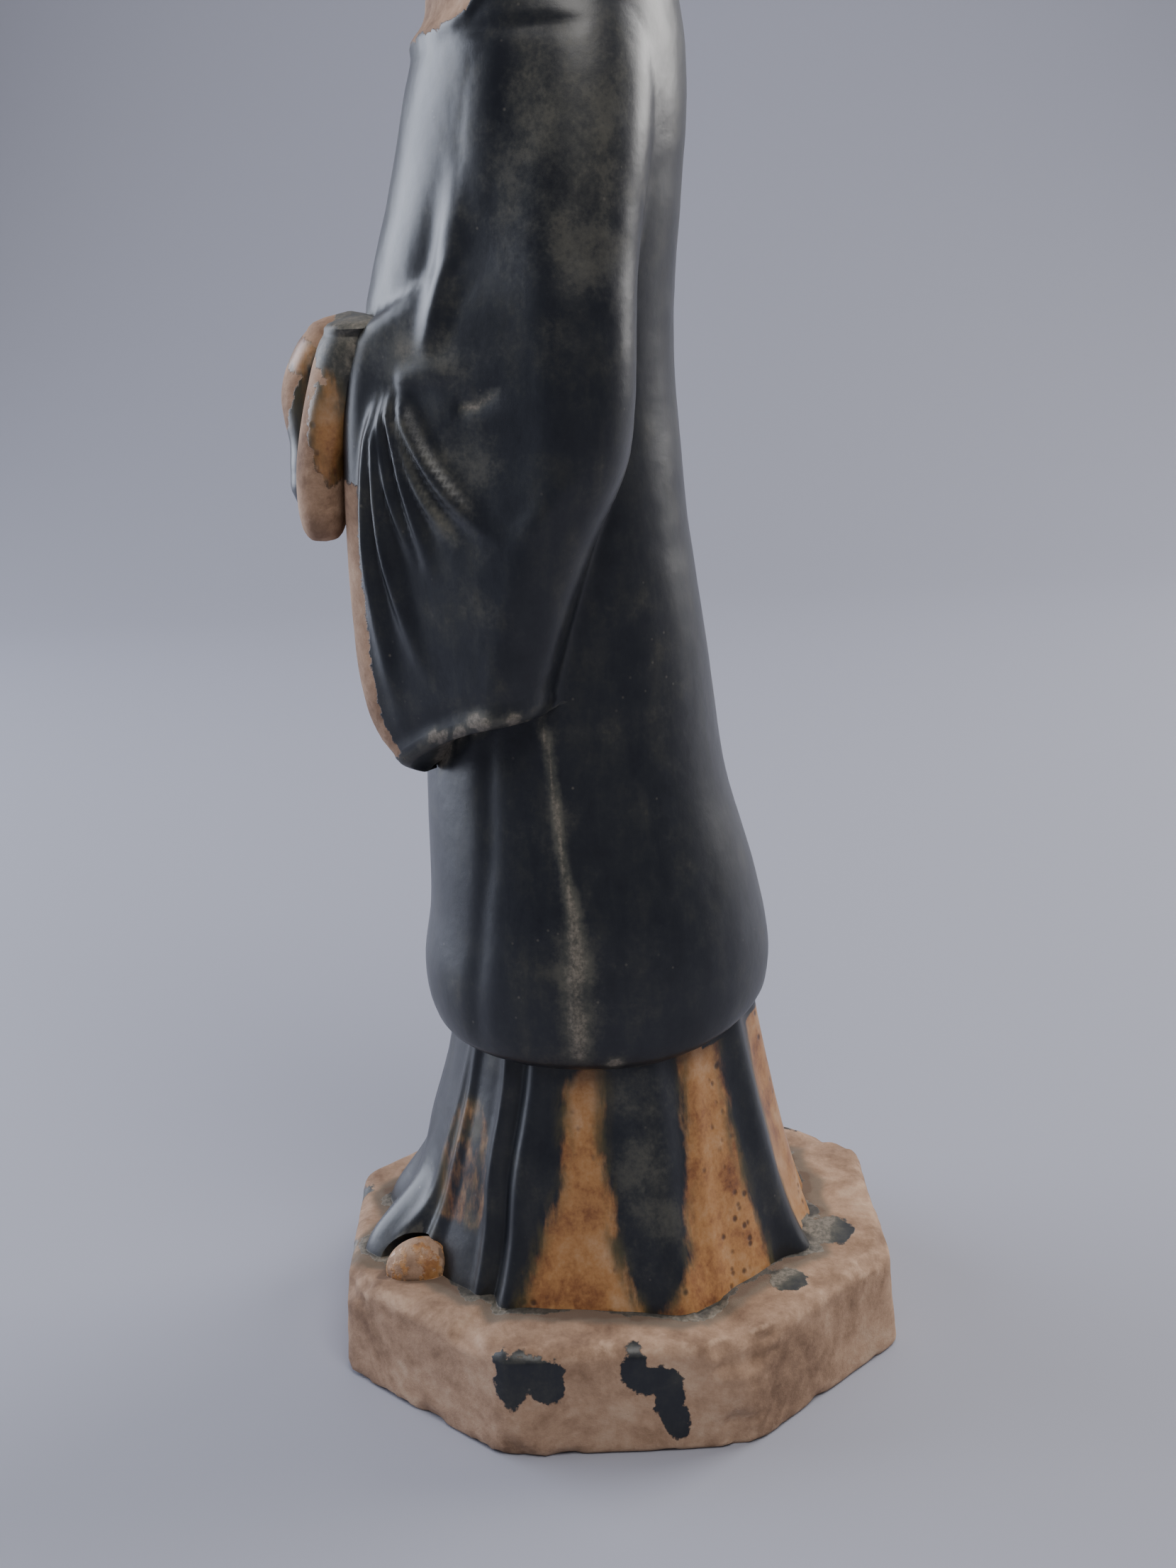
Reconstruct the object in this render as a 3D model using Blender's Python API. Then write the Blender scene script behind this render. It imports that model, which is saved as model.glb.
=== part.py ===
"""Tomb attendant: a robed standing figure on an octagonal base, one piece of lead-glazed earthenware.

The figure faces -Y, its left side is +X, and the origin is the centre of the base's underside.
The base follows its own real sizes. The figure is a free form: its pose, proportions and carving are
drawn in millimetres above the base, and scaled so that the crown of the cap stands at FIGURE_HEIGHT.
Angles run from the front, positive towards the figure's left.
"""
import math

import bmesh
import bpy
import numpy as np

# Driving dimensions, in metres
FIGURE_HEIGHT = 0.222       # base top to the crown of the cap
FIGURE_SUNK = 0.003         # depth that the skirt is pressed into the base
BASE_ACROSS = 0.078         # across the flats of the octagon, at the foot
BASE_THICKNESS = 0.015
BASE_BATTER = 0.0008        # how far each side leans in from foot to top
BASE_TOP_ROUND = 0.0020     # worn rounding of the top edge
BASE_FOOT_ROUND = 0.0008    # worn rounding of the foot edge
BASE_CORNER_ROUND = 0.0040  # worn rounding of the upright corners

# Fineness of the carved surface before it is thinned, and the triangles that stay
COLUMNS = 180
ROW_STEP = 1.3
FOLD_ANGLE = 38.0           # degrees from the front, where columns crowd
FOLD_CROWDING = 1.6
TRIANGLES_KEPT = 8800

# Profiles, drawn: height, centre y, side half-width, front depth, back depth
SKIRT = (
    (-6.0, -0.5, 30.6, 31.0, 29.2),
    (0.0, -0.5, 29.2, 29.4, 27.9),
    (4.0, -0.5, 27.8, 28.0, 26.7),
    (8.0, -0.5, 26.6, 26.6, 25.7),
    (16.0, -0.6, 24.8, 24.7, 24.1),
    (25.0, -0.7, 22.6, 21.9, 22.6),
    (35.0, -0.8, 20.8, 19.6, 21.2),
)
ROBE = (
    (31.0, -0.8, 22.6, 21.0, 20.8),
    (33.0, -0.8, 23.9, 22.4, 22.0),
    (36.0, -0.8, 24.7, 23.6, 23.2),
    (40.0, -0.9, 24.8, 24.0, 23.9),
    (50.0, -1.1, 23.8, 22.6, 23.0),
    (66.0, -1.8, 20.8, 21.2, 19.6),
    (85.0, -2.6, 18.6, 19.0, 18.2),
    (105.0, -3.6, 17.6, 17.0, 17.0),
    (120.0, -4.6, 17.6, 18.6, 17.2),
    (128.0, -4.6, 18.4, 22.2, 17.4),
    (133.0, -4.5, 19.2, 21.3, 17.6),
    (142.0, -3.8, 20.6, 19.4, 17.8),
    (154.0, -2.4, 21.4, 17.8, 17.6),
    (162.0, -1.6, 21.2, 16.3, 16.4),
    (167.0, -1.5, 19.4, 15.0, 15.2),
    (171.0, -1.8, 15.8, 12.7, 12.9),
    (174.0, -2.3, 11.9, 10.6, 10.8),
    (177.0, -2.7, 9.4, 9.0, 9.5),
    (181.0, -3.0, 8.3, 8.2, 8.8),
    (184.0, -3.0, 8.3, 8.2, 8.8),
)
# Head and cap, drawn the same way, with heights above the chin
HEAD = (
    (-1.5, -3.0, 8.2, 8.2, 8.8),
    (0.4, -3.1, 8.5, 9.0, 9.0),
    (2.0, -3.2, 9.4, 10.6, 9.4),
    (5.0, -3.3, 10.6, 11.6, 10.2),
    (10.0, -3.3, 11.8, 11.9, 11.4),
    (16.0, -3.2, 12.4, 12.0, 12.4),
    (22.0, -3.1, 12.3, 12.2, 12.8),
    (30.0, -3.0, 11.6, 11.6, 12.4),
)
CAP = (
    (25.5, -3.0, 12.7, 12.7, 13.4),
    (28.0, -3.0, 13.1, 13.0, 13.8),
    (32.0, -3.0, 12.8, 12.7, 13.4),
    (36.0, -2.9, 10.9, 10.9, 11.3),
    (38.5, -2.8, 7.2, 7.2, 7.5),
    (39.7, -2.8, 3.4, 3.4, 3.5),
    (40.0, -2.8, 1.0, 1.0, 1.0),
)
LAYERS = {"skirt": SKIRT, "gown": ROBE, "robe": ROBE, "head": HEAD, "cap": CAP}
SECTION_POWER = {"skirt": 2.0, "gown": 2.12, "robe": 2.12, "head": 2.1, "cap": 2.0}

# Levels, drawn
ROBE_HEM = 32.0
SLEEVE_LEVEL = 74.0         # the row that is bent onto the sleeve's hem
CHIN = 182.0
BROW = 26.6                 # from the chin up to the edge of the cap
CAP_EDGE = CHIN + BROW
CROWN = CHIN + CAP[-1][0]
UNIT = FIGURE_HEIGHT / CROWN

# One arm in its wide sleeve, drawn: height, then x, y and radius of its rear and of its front rounding
ARM = (
    (66.0, 18.4, -13.0, 4.0, 13.0, -17.0, 3.4),
    (70.0, 18.8, -13.0, 4.4, 12.6, -18.8, 4.0),
    (72.5, 19.2, -12.6, 4.8, 12.0, -20.9, 4.6),
    (76.5, 19.5, -11.8, 5.1, 11.0, -23.0, 5.0),
    (82.0, 19.6, -10.8, 5.4, 10.4, -24.2, 5.1),
    (90.0, 20.0, -9.0, 5.8, 10.0, -24.7, 5.1),
    (100.0, 20.6, -6.0, 6.5, 9.6, -24.9, 5.1),
    (111.0, 21.0, -1.8, 7.2, 9.2, -24.8, 5.1),
    (118.0, 20.6, -1.2, 7.6, 9.0, -24.5, 5.2),
    (124.0, 19.8, -1.2, 8.0, 9.0, -23.3, 5.4),
    (127.0, 19.2, -1.2, 8.2, 9.6, -21.5, 5.6),
    (130.0, 18.8, -1.2, 8.4, 11.5, -16.5, 6.0),
    (134.0, 18.0, -1.0, 8.6, 13.5, -10.5, 6.6),
    (140.0, 17.0, -0.6, 9.0, 14.0, -7.0, 8.0),
    (150.0, 15.2, 0.2, 9.6, 13.5, -5.0, 9.0),
    (158.0, 13.6, 0.6, 9.4, 12.5, -4.0, 9.0),
    (164.0, 11.6, 0.4, 8.6, 11.0, -3.5, 8.2),
    (169.0, 8.8, 0.0, 6.6, 8.6, -3.0, 6.4),
    (173.0, 6.0, -1.0, 4.6, 6.0, -3.0, 4.6),
    (184.0, 2.0, -2.0, 2.0, 2.0, -3.0, 2.0),
)
ARM_STEPS = 24
WALL_SLOPE = 2.2            # how steeply a rounding falls away beyond its own edge
JOINING = 1.1               # sharpness of the crease where arm and gown meet
SLEEVE_TIP = 70.2           # height of the sleeve's lowest point, at its front
SLEEVE_RISE = 11.5
SLEEVE_TIP_ANGLE = 28.0
SLEEVE_RISE_ANGLE = 28.0
HEM_BEND = 22.0
HEM_ROUND = 1.1             # height over which a hem turns up into the face above it
HEM_CLEAR = 0.5             # overhang beyond which a hem has its full lip

# Folds in the side view, drawn: start, bend and end as (y, height), then width and relief
FOLDS = (
    ((-23.6, 120.6), (-29.4, 104.0), (-23.8, 75.0), 1.10, 1.4),
    ((-23.2, 120.6), (-26.9, 107.3), (-22.6, 96.6), 0.90, 1.3),
    ((-24.6, 106.0), (-25.6, 97.3), (-20.0, 82.0), 1.00, 1.2),
    ((-22.8, 120.6), (-23.0, 112.5), (-19.4, 95.5), 0.95, 1.3),
    ((-22.4, 120.2), (-22.2, 107.4), (-15.4, 101.2), 0.95, 1.1),
    ((-21.6, 121.2), (-20.7, 110.7), (-8.8, 101.4), 1.05, 1.4),
    ((-12.8, 148.4), (-14.0, 138.5), (-18.6, 123.8), 1.30, 1.3),
    ((-16.4, 146.0), (-16.0, 137.0), (-19.8, 128.4), 1.70, -0.8),
    ((-18.8, 123.8), (-15.2, 128.4), (-10.2, 136.2), 1.20, 1.2),
    ((-21.6, 121.2), (-18.2, 123.0), (-12.8, 121.9), 1.00, 1.0),
    ((-15.8, 118.0), (-12.2, 117.5), (-8.4, 120.6), 0.90, -0.6),
    ((-9.6, 101.4), (-5.4, 103.8), (-1.6, 111.0), 1.40, 0.7),
)
FOLD_STEPS = 8
FOLD_START = 0.10           # share of a fold's length over which it rises
FOLD_END = 0.50             # share at which it starts to die away

# Pleats of the underskirt: angle at the hem, angle at the foot, width in degrees, relief
PLEATS = (
    (4.0, 3.0, 4.0, 0.5),
    (31.0, 20.0, 2.6, 0.7),
    (36.0, 28.5, 2.4, 0.8),
    (51.5, 50.0, 2.4, 0.8),
    (58.0, 53.8, 2.8, -1.5),
    (63.5, 58.0, 3.8, 1.6),
    (84.0, 80.0, 10.0, -0.7),
    (103.0, 106.0, 8.0, 2.2),
    (121.0, 117.0, 4.0, 0.6),
    (146.0, 150.0, 6.0, 1.4),
    (168.0, 171.0, 6.0, 0.8),
)
TOE_REACH = 6.8             # how far each shoe pushes the hem out at its foot
TOE_HEIGHT = 9.0
TOE_ANGLE = 13.5
TOE_WIDTH = 9.0
POINT_SPREAD = 1.0          # the pointed foot of the rear pleat
POINT_HEIGHT = 3.6
POINT_ANGLE = 153.0
POINT_WIDTH = 6.0

# Crossed collar and shoulder crease, drawn
COLLAR_LOW = 161.5          # its lowest point, at the front
COLLAR_RISE = 0.115         # drawn units of height for each degree round
COLLAR_BEND = -0.0002
COLLAR_WIDTH = 1.1
COLLAR_RELIEF = 0.6
COLLAR_SINK = -0.5          # how far the neck lies behind the collar's edge
CREASE_HEIGHT = 160.5
CREASE_WIDTH = 0.9
CREASE_RELIEF = -0.5
CREASE_START = 62.0         # degrees from the front, where it begins and ends over the shoulder
CREASE_END = 112.0
CREASE_FADE = 7.0
COLLAR_BACK = 3.0           # how far above the edge the neck is deepest, in collar widths

# Hands in their hanging cuffs, the left behind the right: height, centre x and y, half-width, half-depth
LEFT_CUFF = (
    (100.3, 4.9, -33.7, 0.3, 0.3),
    (100.7, 4.9, -33.7, 2.6, 1.6),
    (101.6, 4.9, -33.7, 3.9, 2.4),
    (103.4, 4.9, -33.7, 4.9, 2.9),
    (106.5, 4.9, -33.6, 5.4, 3.2),
    (110.0, 4.9, -33.2, 5.6, 3.4),
    (114.0, 5.0, -32.2, 5.8, 3.7),
    (117.0, 5.1, -31.2, 6.0, 4.0),
    (120.5, 5.3, -29.8, 6.3, 4.4),
    (123.5, 5.6, -28.6, 6.4, 4.6),
    (126.4, 5.9, -27.6, 6.0, 4.2),
    (128.2, 6.2, -27.0, 4.4, 3.0),
    (128.8, 6.2, -26.8, 0.3, 0.3),
)
RIGHT_CUFF = (
    (103.5, -4.6, -36.0, 0.3, 0.3),
    (103.9, -4.6, -36.0, 2.6, 1.3),
    (105.4, -4.6, -36.0, 4.4, 2.4),
    (108.8, -4.7, -35.7, 5.4, 2.9),
    (112.5, -4.8, -35.2, 5.8, 3.2),
    (115.0, -4.8, -34.9, 6.0, 3.9),
    (118.5, -4.9, -34.4, 6.3, 4.6),
    (120.8, -5.0, -33.7, 6.4, 4.8),
    (123.5, -5.2, -32.4, 6.5, 4.9),
    (126.2, -5.5, -30.8, 6.0, 4.6),
    (128.0, -5.8, -29.6, 4.4, 3.3),
    (128.7, -5.8, -29.4, 0.3, 0.3),
)
CUFF_POWER = 2.5            # a little squarer than an ellipse
# Shoe under the lifted hem, and the arch that the hem makes over it, drawn
SHOE_PLACE = (15.0, -28.2, 0.6)
SHOE_SIZE = (4.0, 6.2, 4.7)
ARCH_PLACE = (15.4, -30.0, 0.2)
ARCH_SIZE = (5.8, 8.6, 6.2)
SHOE_TURN = math.radians(14.0)
EAR_PLACE = (12.2, -1.4, 16.4)   # its height is above the chin
EAR_SIZE = (1.5, 2.5, 4.8)
BLOB_SIDES = 28

# Face, drawn: x, height above the chin, half-width, half-height, relief; generic and evenly spaced
FACE = (
    (0.0, 21.2, 1.3, 3.4, 1.0),
    (0.0, 14.8, 1.7, 2.3, 2.3),
    (2.0, 13.2, 1.0, 1.0, 0.9),
    (4.6, 19.4, 2.8, 2.0, -1.4),
    (4.6, 19.4, 2.3, 1.05, 1.1),
    (4.7, 22.8, 3.4, 0.9, 0.5),
    (6.4, 14.0, 3.0, 3.2, 0.5),
    (0.0, 9.4, 2.5, 0.7, 0.9),
    (0.0, 8.5, 2.9, 0.28, -0.7),
    (0.0, 7.5, 2.1, 0.8, 0.9),
    (0.0, 5.7, 2.4, 0.6, -0.4),
    (0.0, 3.4, 3.1, 1.8, 1.0),
)


def along(table, heights):
    """All columns of a profile table at the given heights, on a smooth curve through its rows."""
    rows = np.array(table)
    knots = rows[:, 0]
    values = rows[:, 1:]
    slopes = np.gradient(values, knots, axis=0)
    place = np.clip(heights, knots[0], knots[-1])
    row = np.clip(np.searchsorted(knots, place, side="right") - 1, 0, len(knots) - 2)
    gap = knots[row + 1] - knots[row]
    t = ((place - knots[row]) / gap)[..., None]
    gap = gap[..., None]
    start = (2.0 * t ** 3 - 3.0 * t ** 2 + 1.0) * values[row]
    leave = (t ** 3 - 2.0 * t ** 2 + t) * gap * slopes[row]
    end = (3.0 * t ** 2 - 2.0 * t ** 3) * values[row + 1]
    arrive = (t ** 3 - t ** 2) * gap * slopes[row + 1]
    return start + leave + end + arrive


def bump(distance, width):
    return np.exp(-(distance / width) ** 2)


def fade(value, start, end):
    """0 before start, 1 after end, and smooth between them."""
    t = np.clip((value - start) / (end - start), 0.0, 1.0)
    return t * t * (3.0 - 2.0 * t)


def section(layer, angle, height):
    """Centre y and radius of the plain profile of a layer."""
    level = height - CHIN if layer in ("head", "cap") else height
    centre, side, front, back = np.moveaxis(along(LAYERS[layer], level), -1, 0)
    depth = np.where(np.cos(angle) > 0.0, front, back)
    power = SECTION_POWER[layer]
    reach = np.abs(np.sin(angle) / side) ** power + np.abs(np.cos(angle) / depth) ** power
    return centre, reach ** (-1.0 / power)


def arm_radius(angle, height, centre):
    """Far side of one arm's sleeve, seen from the axis; the other arm mirrors it."""
    rear_x, rear_y, rear_r, front_x, front_y, front_r = np.moveaxis(along(ARM, height), -1, 0)
    side = np.abs(angle)
    far = np.full(np.shape(side), -1.0e3)
    for step in range(ARM_STEPS + 1):
        share = step / ARM_STEPS
        x = rear_x + (front_x - rear_x) * share
        y = rear_y + (front_y - rear_y) * share - centre
        radius = rear_r + (front_r - rear_r) * share
        forward = x * np.sin(side) - y * np.cos(side)
        sideways = np.abs(x * np.cos(side) + y * np.sin(side))
        inside = np.sqrt(np.maximum(radius ** 2 - sideways ** 2, 0.0))
        outside = WALL_SLOPE * np.maximum(sideways - radius, 0.0)
        far = np.maximum(far, forward + inside - outside)
    return far


def join(first, second):
    """The larger radius, with a small fillet where the two cross."""
    high = np.maximum(first, second)
    low = np.minimum(first, second)
    return high + np.log1p(np.exp(JOINING * (low - high))) / JOINING * 0.6


def fold_relief(y, height):
    """Relief of the drapery folds, which radiate from the wrist and the crook of the arm."""
    place = np.stack(np.broadcast_arrays(y, height), axis=-1)
    relief = np.zeros(np.shape(y))
    for start, bend, end, width, amount in FOLDS:
        t = np.linspace(0.0, 1.0, FOLD_STEPS + 1)[:, None]
        curve = (1 - t) ** 2 * np.array(start) + 2 * t * (1 - t) * np.array(bend) + t ** 2 * np.array(end)
        nearest = np.full(np.shape(y), 1.0e3)
        spot = np.zeros(np.shape(y))
        for step in range(FOLD_STEPS):
            run = curve[step + 1] - curve[step]
            share = np.clip(((place - curve[step]) @ run) / (run @ run), 0.0, 1.0)
            gap = np.linalg.norm(place - curve[step] - share[..., None] * run, axis=-1)
            spot = np.where(gap < nearest, (step + share) / FOLD_STEPS, spot)
            nearest = np.minimum(nearest, gap)
        strength = fade(spot, 0.0, FOLD_START) * (1.0 - fade(spot, FOLD_END, 1.0))
        relief = relief + amount * strength * bump(nearest, width)
    return relief


def pleat_relief(angle, height):
    """Pleats of the underskirt, deeper towards the foot, and its spread front and pointed rear pleat."""
    side = np.degrees(np.abs(angle))
    down = 1.0 - np.clip(height, 0.0, ROBE_HEM) / ROBE_HEM
    relief = np.zeros(np.shape(side))
    for top, foot, width, amount in PLEATS:
        middle = top + (foot - top) * down
        relief = relief + amount * (0.75 + 0.45 * down) * bump(side - middle, width)
    push = TOE_REACH * bump(np.maximum(height, 0.0), TOE_HEIGHT)
    relief = relief + push * bump(side - TOE_ANGLE, TOE_WIDTH)
    point = POINT_SPREAD * np.exp(-np.maximum(height, 0.0) / POINT_HEIGHT)
    return relief + point * bump(side - POINT_ANGLE, POINT_WIDTH)


def collar_relief(angle, height):
    """Raised edge of the round collar, the sunk neck behind it, and the crease over each shoulder."""
    side = np.degrees(np.abs(angle))
    above = height - (COLLAR_LOW + COLLAR_RISE * side + COLLAR_BEND * side ** 2)
    edge = COLLAR_RELIEF * bump(above, COLLAR_WIDTH)
    neck = COLLAR_SINK * bump(above - COLLAR_BACK * COLLAR_WIDTH, 2.0 * COLLAR_WIDTH)
    crease = CREASE_RELIEF * bump(height - CREASE_HEIGHT, CREASE_WIDTH)
    over = fade(side, CREASE_START - CREASE_FADE, CREASE_START + CREASE_FADE)
    over = over * (1.0 - fade(side, CREASE_END - CREASE_FADE, CREASE_END + CREASE_FADE))
    return edge + neck + crease * over


def face_relief(x, level):
    relief = np.zeros(np.shape(x))
    for place, middle, width, tall, amount in FACE:
        relief = relief + amount * bump(np.abs(x) - place, width) * bump(level - middle, tall)
    return relief


def surface(layer, angle, height):
    """Centre y and radius of the carved surface of a layer."""
    centre, radius = section(layer, angle, height)
    if layer == "skirt":
        radius = radius + pleat_relief(angle, height)
    if layer == "robe":
        radius = join(radius, arm_radius(angle, height, centre))
        on_side = fade(np.abs(angle), math.radians(12.0), math.radians(20.0))
        radius = radius + fold_relief(centre - radius * np.cos(angle), height) * on_side
        radius = radius + collar_relief(angle, height)
    if layer == "head":
        in_front = fade(np.cos(angle), 0.1, 0.5)
        radius = radius + face_relief(radius * np.sin(angle), height - CHIN) * in_front
    return centre, radius


def ledge(level, inner, outer, undercut):
    """Rows that turn out under a hem: height, inner and outer layer, share of the outer one, plain height."""
    return [
        (level + undercut, inner, outer, 0.0, level),
        (level + 0.35 * undercut, inner, outer, 0.50, level + 0.25 * HEM_ROUND),
        (level, inner, outer, 0.86, level + 0.5 * HEM_ROUND),
        (level + 0.3 * HEM_ROUND, inner, outer, 0.97, level + 0.75 * HEM_ROUND),
        (level + HEM_ROUND, inner, outer, 1.0, level + HEM_ROUND),
    ]


def plain_rows(start, end, step, layer):
    """Evenly spaced rows of one layer, without its end rows."""
    count = max(2, round((end - start) / step))
    levels = [start + (end - start) * i / count for i in range(1, count)]
    return [(level, layer, layer, 1.0, level) for level in levels]


def body_rows():
    foot = -FIGURE_SUNK / UNIT
    rows = [(foot, "skirt", "skirt", 1.0, foot)]
    rows += plain_rows(foot, ROBE_HEM - 0.2, ROW_STEP, "skirt")
    rows += ledge(ROBE_HEM, "skirt", "gown", 0.7)
    rows += plain_rows(ROBE_HEM + HEM_ROUND, SLEEVE_LEVEL - 0.2, ROW_STEP, "gown")
    rows += ledge(SLEEVE_LEVEL, "gown", "robe", 0.9)
    rows += plain_rows(SLEEVE_LEVEL + HEM_ROUND, CHIN, ROW_STEP, "robe")
    rows += plain_rows(CHIN, CAP_EDGE - 0.2, ROW_STEP * 0.7, "head")
    rows += ledge(CAP_EDGE, "head", "cap", 0.3)
    rows += plain_rows(CAP_EDGE + HEM_ROUND, CROWN, ROW_STEP * 0.8, "cap")
    return rows + [(CROWN, "cap", "cap", 1.0, CROWN)]


def column_angles():
    """Angles of the columns, closer together over the folded front of each sleeve."""
    spot = np.linspace(-math.pi, math.pi, 2000)
    crowd = 1.0 + FOLD_CROWDING * bump(np.abs(spot) - math.radians(FOLD_ANGLE), math.radians(22.0))
    share = np.cumsum(crowd) / np.sum(crowd)
    return np.interp(np.arange(1, COLUMNS + 1) / COLUMNS - 0.5 / COLUMNS, share, spot)


def bent_height(level, angle):
    """Height of a row at each angle: rows near the sleeve's hem run along that slanting hem."""
    beyond = np.maximum(np.degrees(np.abs(angle)) - SLEEVE_TIP_ANGLE, 0.0)
    hem = SLEEVE_TIP + SLEEVE_RISE * (1.0 - np.exp(-beyond / SLEEVE_RISE_ANGLE))
    return level + (hem - SLEEVE_LEVEL) * bump(level - SLEEVE_LEVEL, HEM_BEND)


def row_height(angle, level, inner, outer, plain):
    """Height of a row at each angle; hem rows lie at their plain height where one layer meets the other."""
    height = bent_height(plain, angle)
    if inner == outer:
        return height
    overhang = surface(outer, angle, height)[1] - surface(inner, angle, height)[1]
    return bent_height(plain + (level - plain) * fade(overhang, 0.0, HEM_CLEAR), angle)


def ring(mesh, xs, ys, heights):
    return [mesh.verts.new(place) for place in zip(xs, ys, heights)]


def stack(mesh, rings):
    """Close a stack of rings, lowest first, into one outward-facing body."""
    for lower, upper in zip(rings, rings[1:]):
        count = len(lower)
        for i in range(count):
            after = (i + 1) % count
            mesh.faces.new((lower[i], lower[after], upper[after], upper[i]))
    mesh.faces.new(list(reversed(rings[0])))
    mesh.faces.new(rings[-1])


def add_object(name, mesh):
    """Turn a bmesh into an object, faces outward and triangulated."""
    bmesh.ops.triangulate(mesh, faces=mesh.faces[:])
    bmesh.ops.recalc_face_normals(mesh, faces=mesh.faces[:])
    data = bpy.data.meshes.new(name)
    mesh.to_mesh(data)
    mesh.free()
    thing = bpy.data.objects.new(name, data)
    bpy.context.scene.collection.objects.link(thing)
    return thing


def to_world(x, y, height):
    return x * UNIT, y * UNIT, BASE_THICKNESS + height * UNIT


def make_body(name):
    """Underskirt, robe, sleeves, head and cap as one stack of rings."""
    mesh = bmesh.new()
    angle = column_angles()
    rings = []
    for level, inner, outer, share, plain in body_rows():
        height = row_height(angle, level, inner, outer, plain)
        inner_centre, inner_radius = surface(inner, angle, height)
        outer_centre, outer_radius = surface(outer, angle, height)
        centre = inner_centre + (outer_centre - inner_centre) * share
        radius = inner_radius + (outer_radius - inner_radius) * share
        x, y, z = to_world(radius * np.sin(angle), centre - radius * np.cos(angle), height)
        rings.append(ring(mesh, x, y, z))
    stack(mesh, rings)
    return add_object(name, mesh)


def make_cuff(name, table):
    """One hand's hanging cuff, a stack of squarish ellipses."""
    mesh = bmesh.new()
    angle = np.linspace(0.0, 2.0 * math.pi, BLOB_SIDES, endpoint=False)
    across = np.sign(np.cos(angle)) * np.abs(np.cos(angle)) ** (2.0 / CUFF_POWER)
    along_depth = np.sign(np.sin(angle)) * np.abs(np.sin(angle)) ** (2.0 / CUFF_POWER)
    rings = []
    rows = np.array(table)[:, 0]
    between = np.arange(rows[0] + ROW_STEP, rows[-1] - ROW_STEP, ROW_STEP)
    for height in np.unique(np.concatenate([between, rows])):
        centre_x, centre_y, wide, deep = along(table, np.array(height))
        x, y, z = to_world(centre_x + wide * across, centre_y + deep * along_depth, height)
        rings.append(ring(mesh, x, y, np.full(BLOB_SIDES, z)))
    stack(mesh, rings)
    return add_object(name, mesh)


def make_ellipsoid(name, place, size, side, turn=0.0):
    """A rounded lump of drawn place and half-sizes, turned about the upright axis and mirrored by side."""
    mesh = bmesh.new()
    bmesh.ops.create_uvsphere(mesh, u_segments=BLOB_SIDES, v_segments=BLOB_SIDES // 2, radius=1.0)
    for vert in mesh.verts:
        x, y, height = (vert.co[i] * size[i] for i in range(3))
        turned_x = x * math.cos(turn) - y * math.sin(turn)
        turned_y = x * math.sin(turn) + y * math.cos(turn)
        vert.co = to_world(side * (place[0] + turned_x), place[1] + turned_y, place[2] + height)
    return add_object(name, mesh)


def octagon(inset, round_steps=3):
    """Outline of the base, inset from its foot size, with its corners worn round."""
    reach = BASE_ACROSS / 2.0 - inset
    half_turn = math.pi / 8.0
    corner = reach / math.cos(half_turn) - BASE_CORNER_ROUND / math.cos(half_turn)
    points = []
    for i in range(8):
        middle = half_turn + i * math.pi / 4.0
        for step in range(round_steps + 1):
            turn = middle + (step / round_steps - 0.5) * math.pi / 4.0
            x = corner * math.cos(middle) + BASE_CORNER_ROUND * math.cos(turn)
            y = corner * math.sin(middle) + BASE_CORNER_ROUND * math.sin(turn)
            points.append((x, y))
    return np.array(points)


def make_base(name):
    """Octagonal base with leaning sides and worn edges."""
    mesh = bmesh.new()
    levels = []
    for step in range(4):
        turn = step / 3.0 * math.pi / 2.0
        levels.append((BASE_FOOT_ROUND * (1.0 - math.sin(turn)), BASE_FOOT_ROUND * (1.0 - math.cos(turn))))
    for step in range(5):
        turn = step / 4.0 * math.pi / 2.0
        inset = BASE_BATTER + BASE_TOP_ROUND * (1.0 - math.cos(turn))
        levels.append((inset, BASE_THICKNESS - BASE_TOP_ROUND * (1.0 - math.sin(turn))))
    rings = []
    for inset, height in levels:
        outline = octagon(inset)
        rings.append(ring(mesh, outline[:, 0], outline[:, 1], np.full(len(outline), height)))
    stack(mesh, rings)
    return add_object(name, mesh)


def combine(target, other, operation):
    """Apply a Boolean to the target and remove the other object."""
    boolean = target.modifiers.new(operation, "BOOLEAN")
    boolean.operation = operation
    boolean.solver = "EXACT"
    boolean.object = other
    keep_result(target)
    bpy.data.objects.remove(other, do_unlink=True)


def keep_result(thing):
    """Replace an object's mesh by its evaluated one, and drop its modifiers."""
    graph = bpy.context.evaluated_depsgraph_get()
    result = bpy.data.meshes.new_from_object(thing.evaluated_get(graph))
    thing.modifiers.clear()
    thing.data = result


def thin(thing):
    """Collapse the fine carved mesh to the triangles that carry its form."""
    mesh = bmesh.new()
    mesh.from_mesh(thing.data)
    bmesh.ops.triangulate(mesh, faces=mesh.faces[:])
    mesh.to_mesh(thing.data)
    triangles = len(mesh.faces)
    mesh.free()
    decimate = thing.modifiers.new("thin", "DECIMATE")
    decimate.ratio = min(1.0, TRIANGLES_KEPT / triangles)
    keep_result(thing)


def glaze():
    """Dark green lead glaze."""
    material = bpy.data.materials.new("dark_glaze")
    material.use_nodes = True
    shader = material.node_tree.nodes["Principled BSDF"]
    shader.inputs["Base Color"].default_value = (0.022, 0.030, 0.026, 1.0)
    shader.inputs["Roughness"].default_value = 0.24
    shader.inputs["Metallic"].default_value = 0.0
    return material


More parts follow.
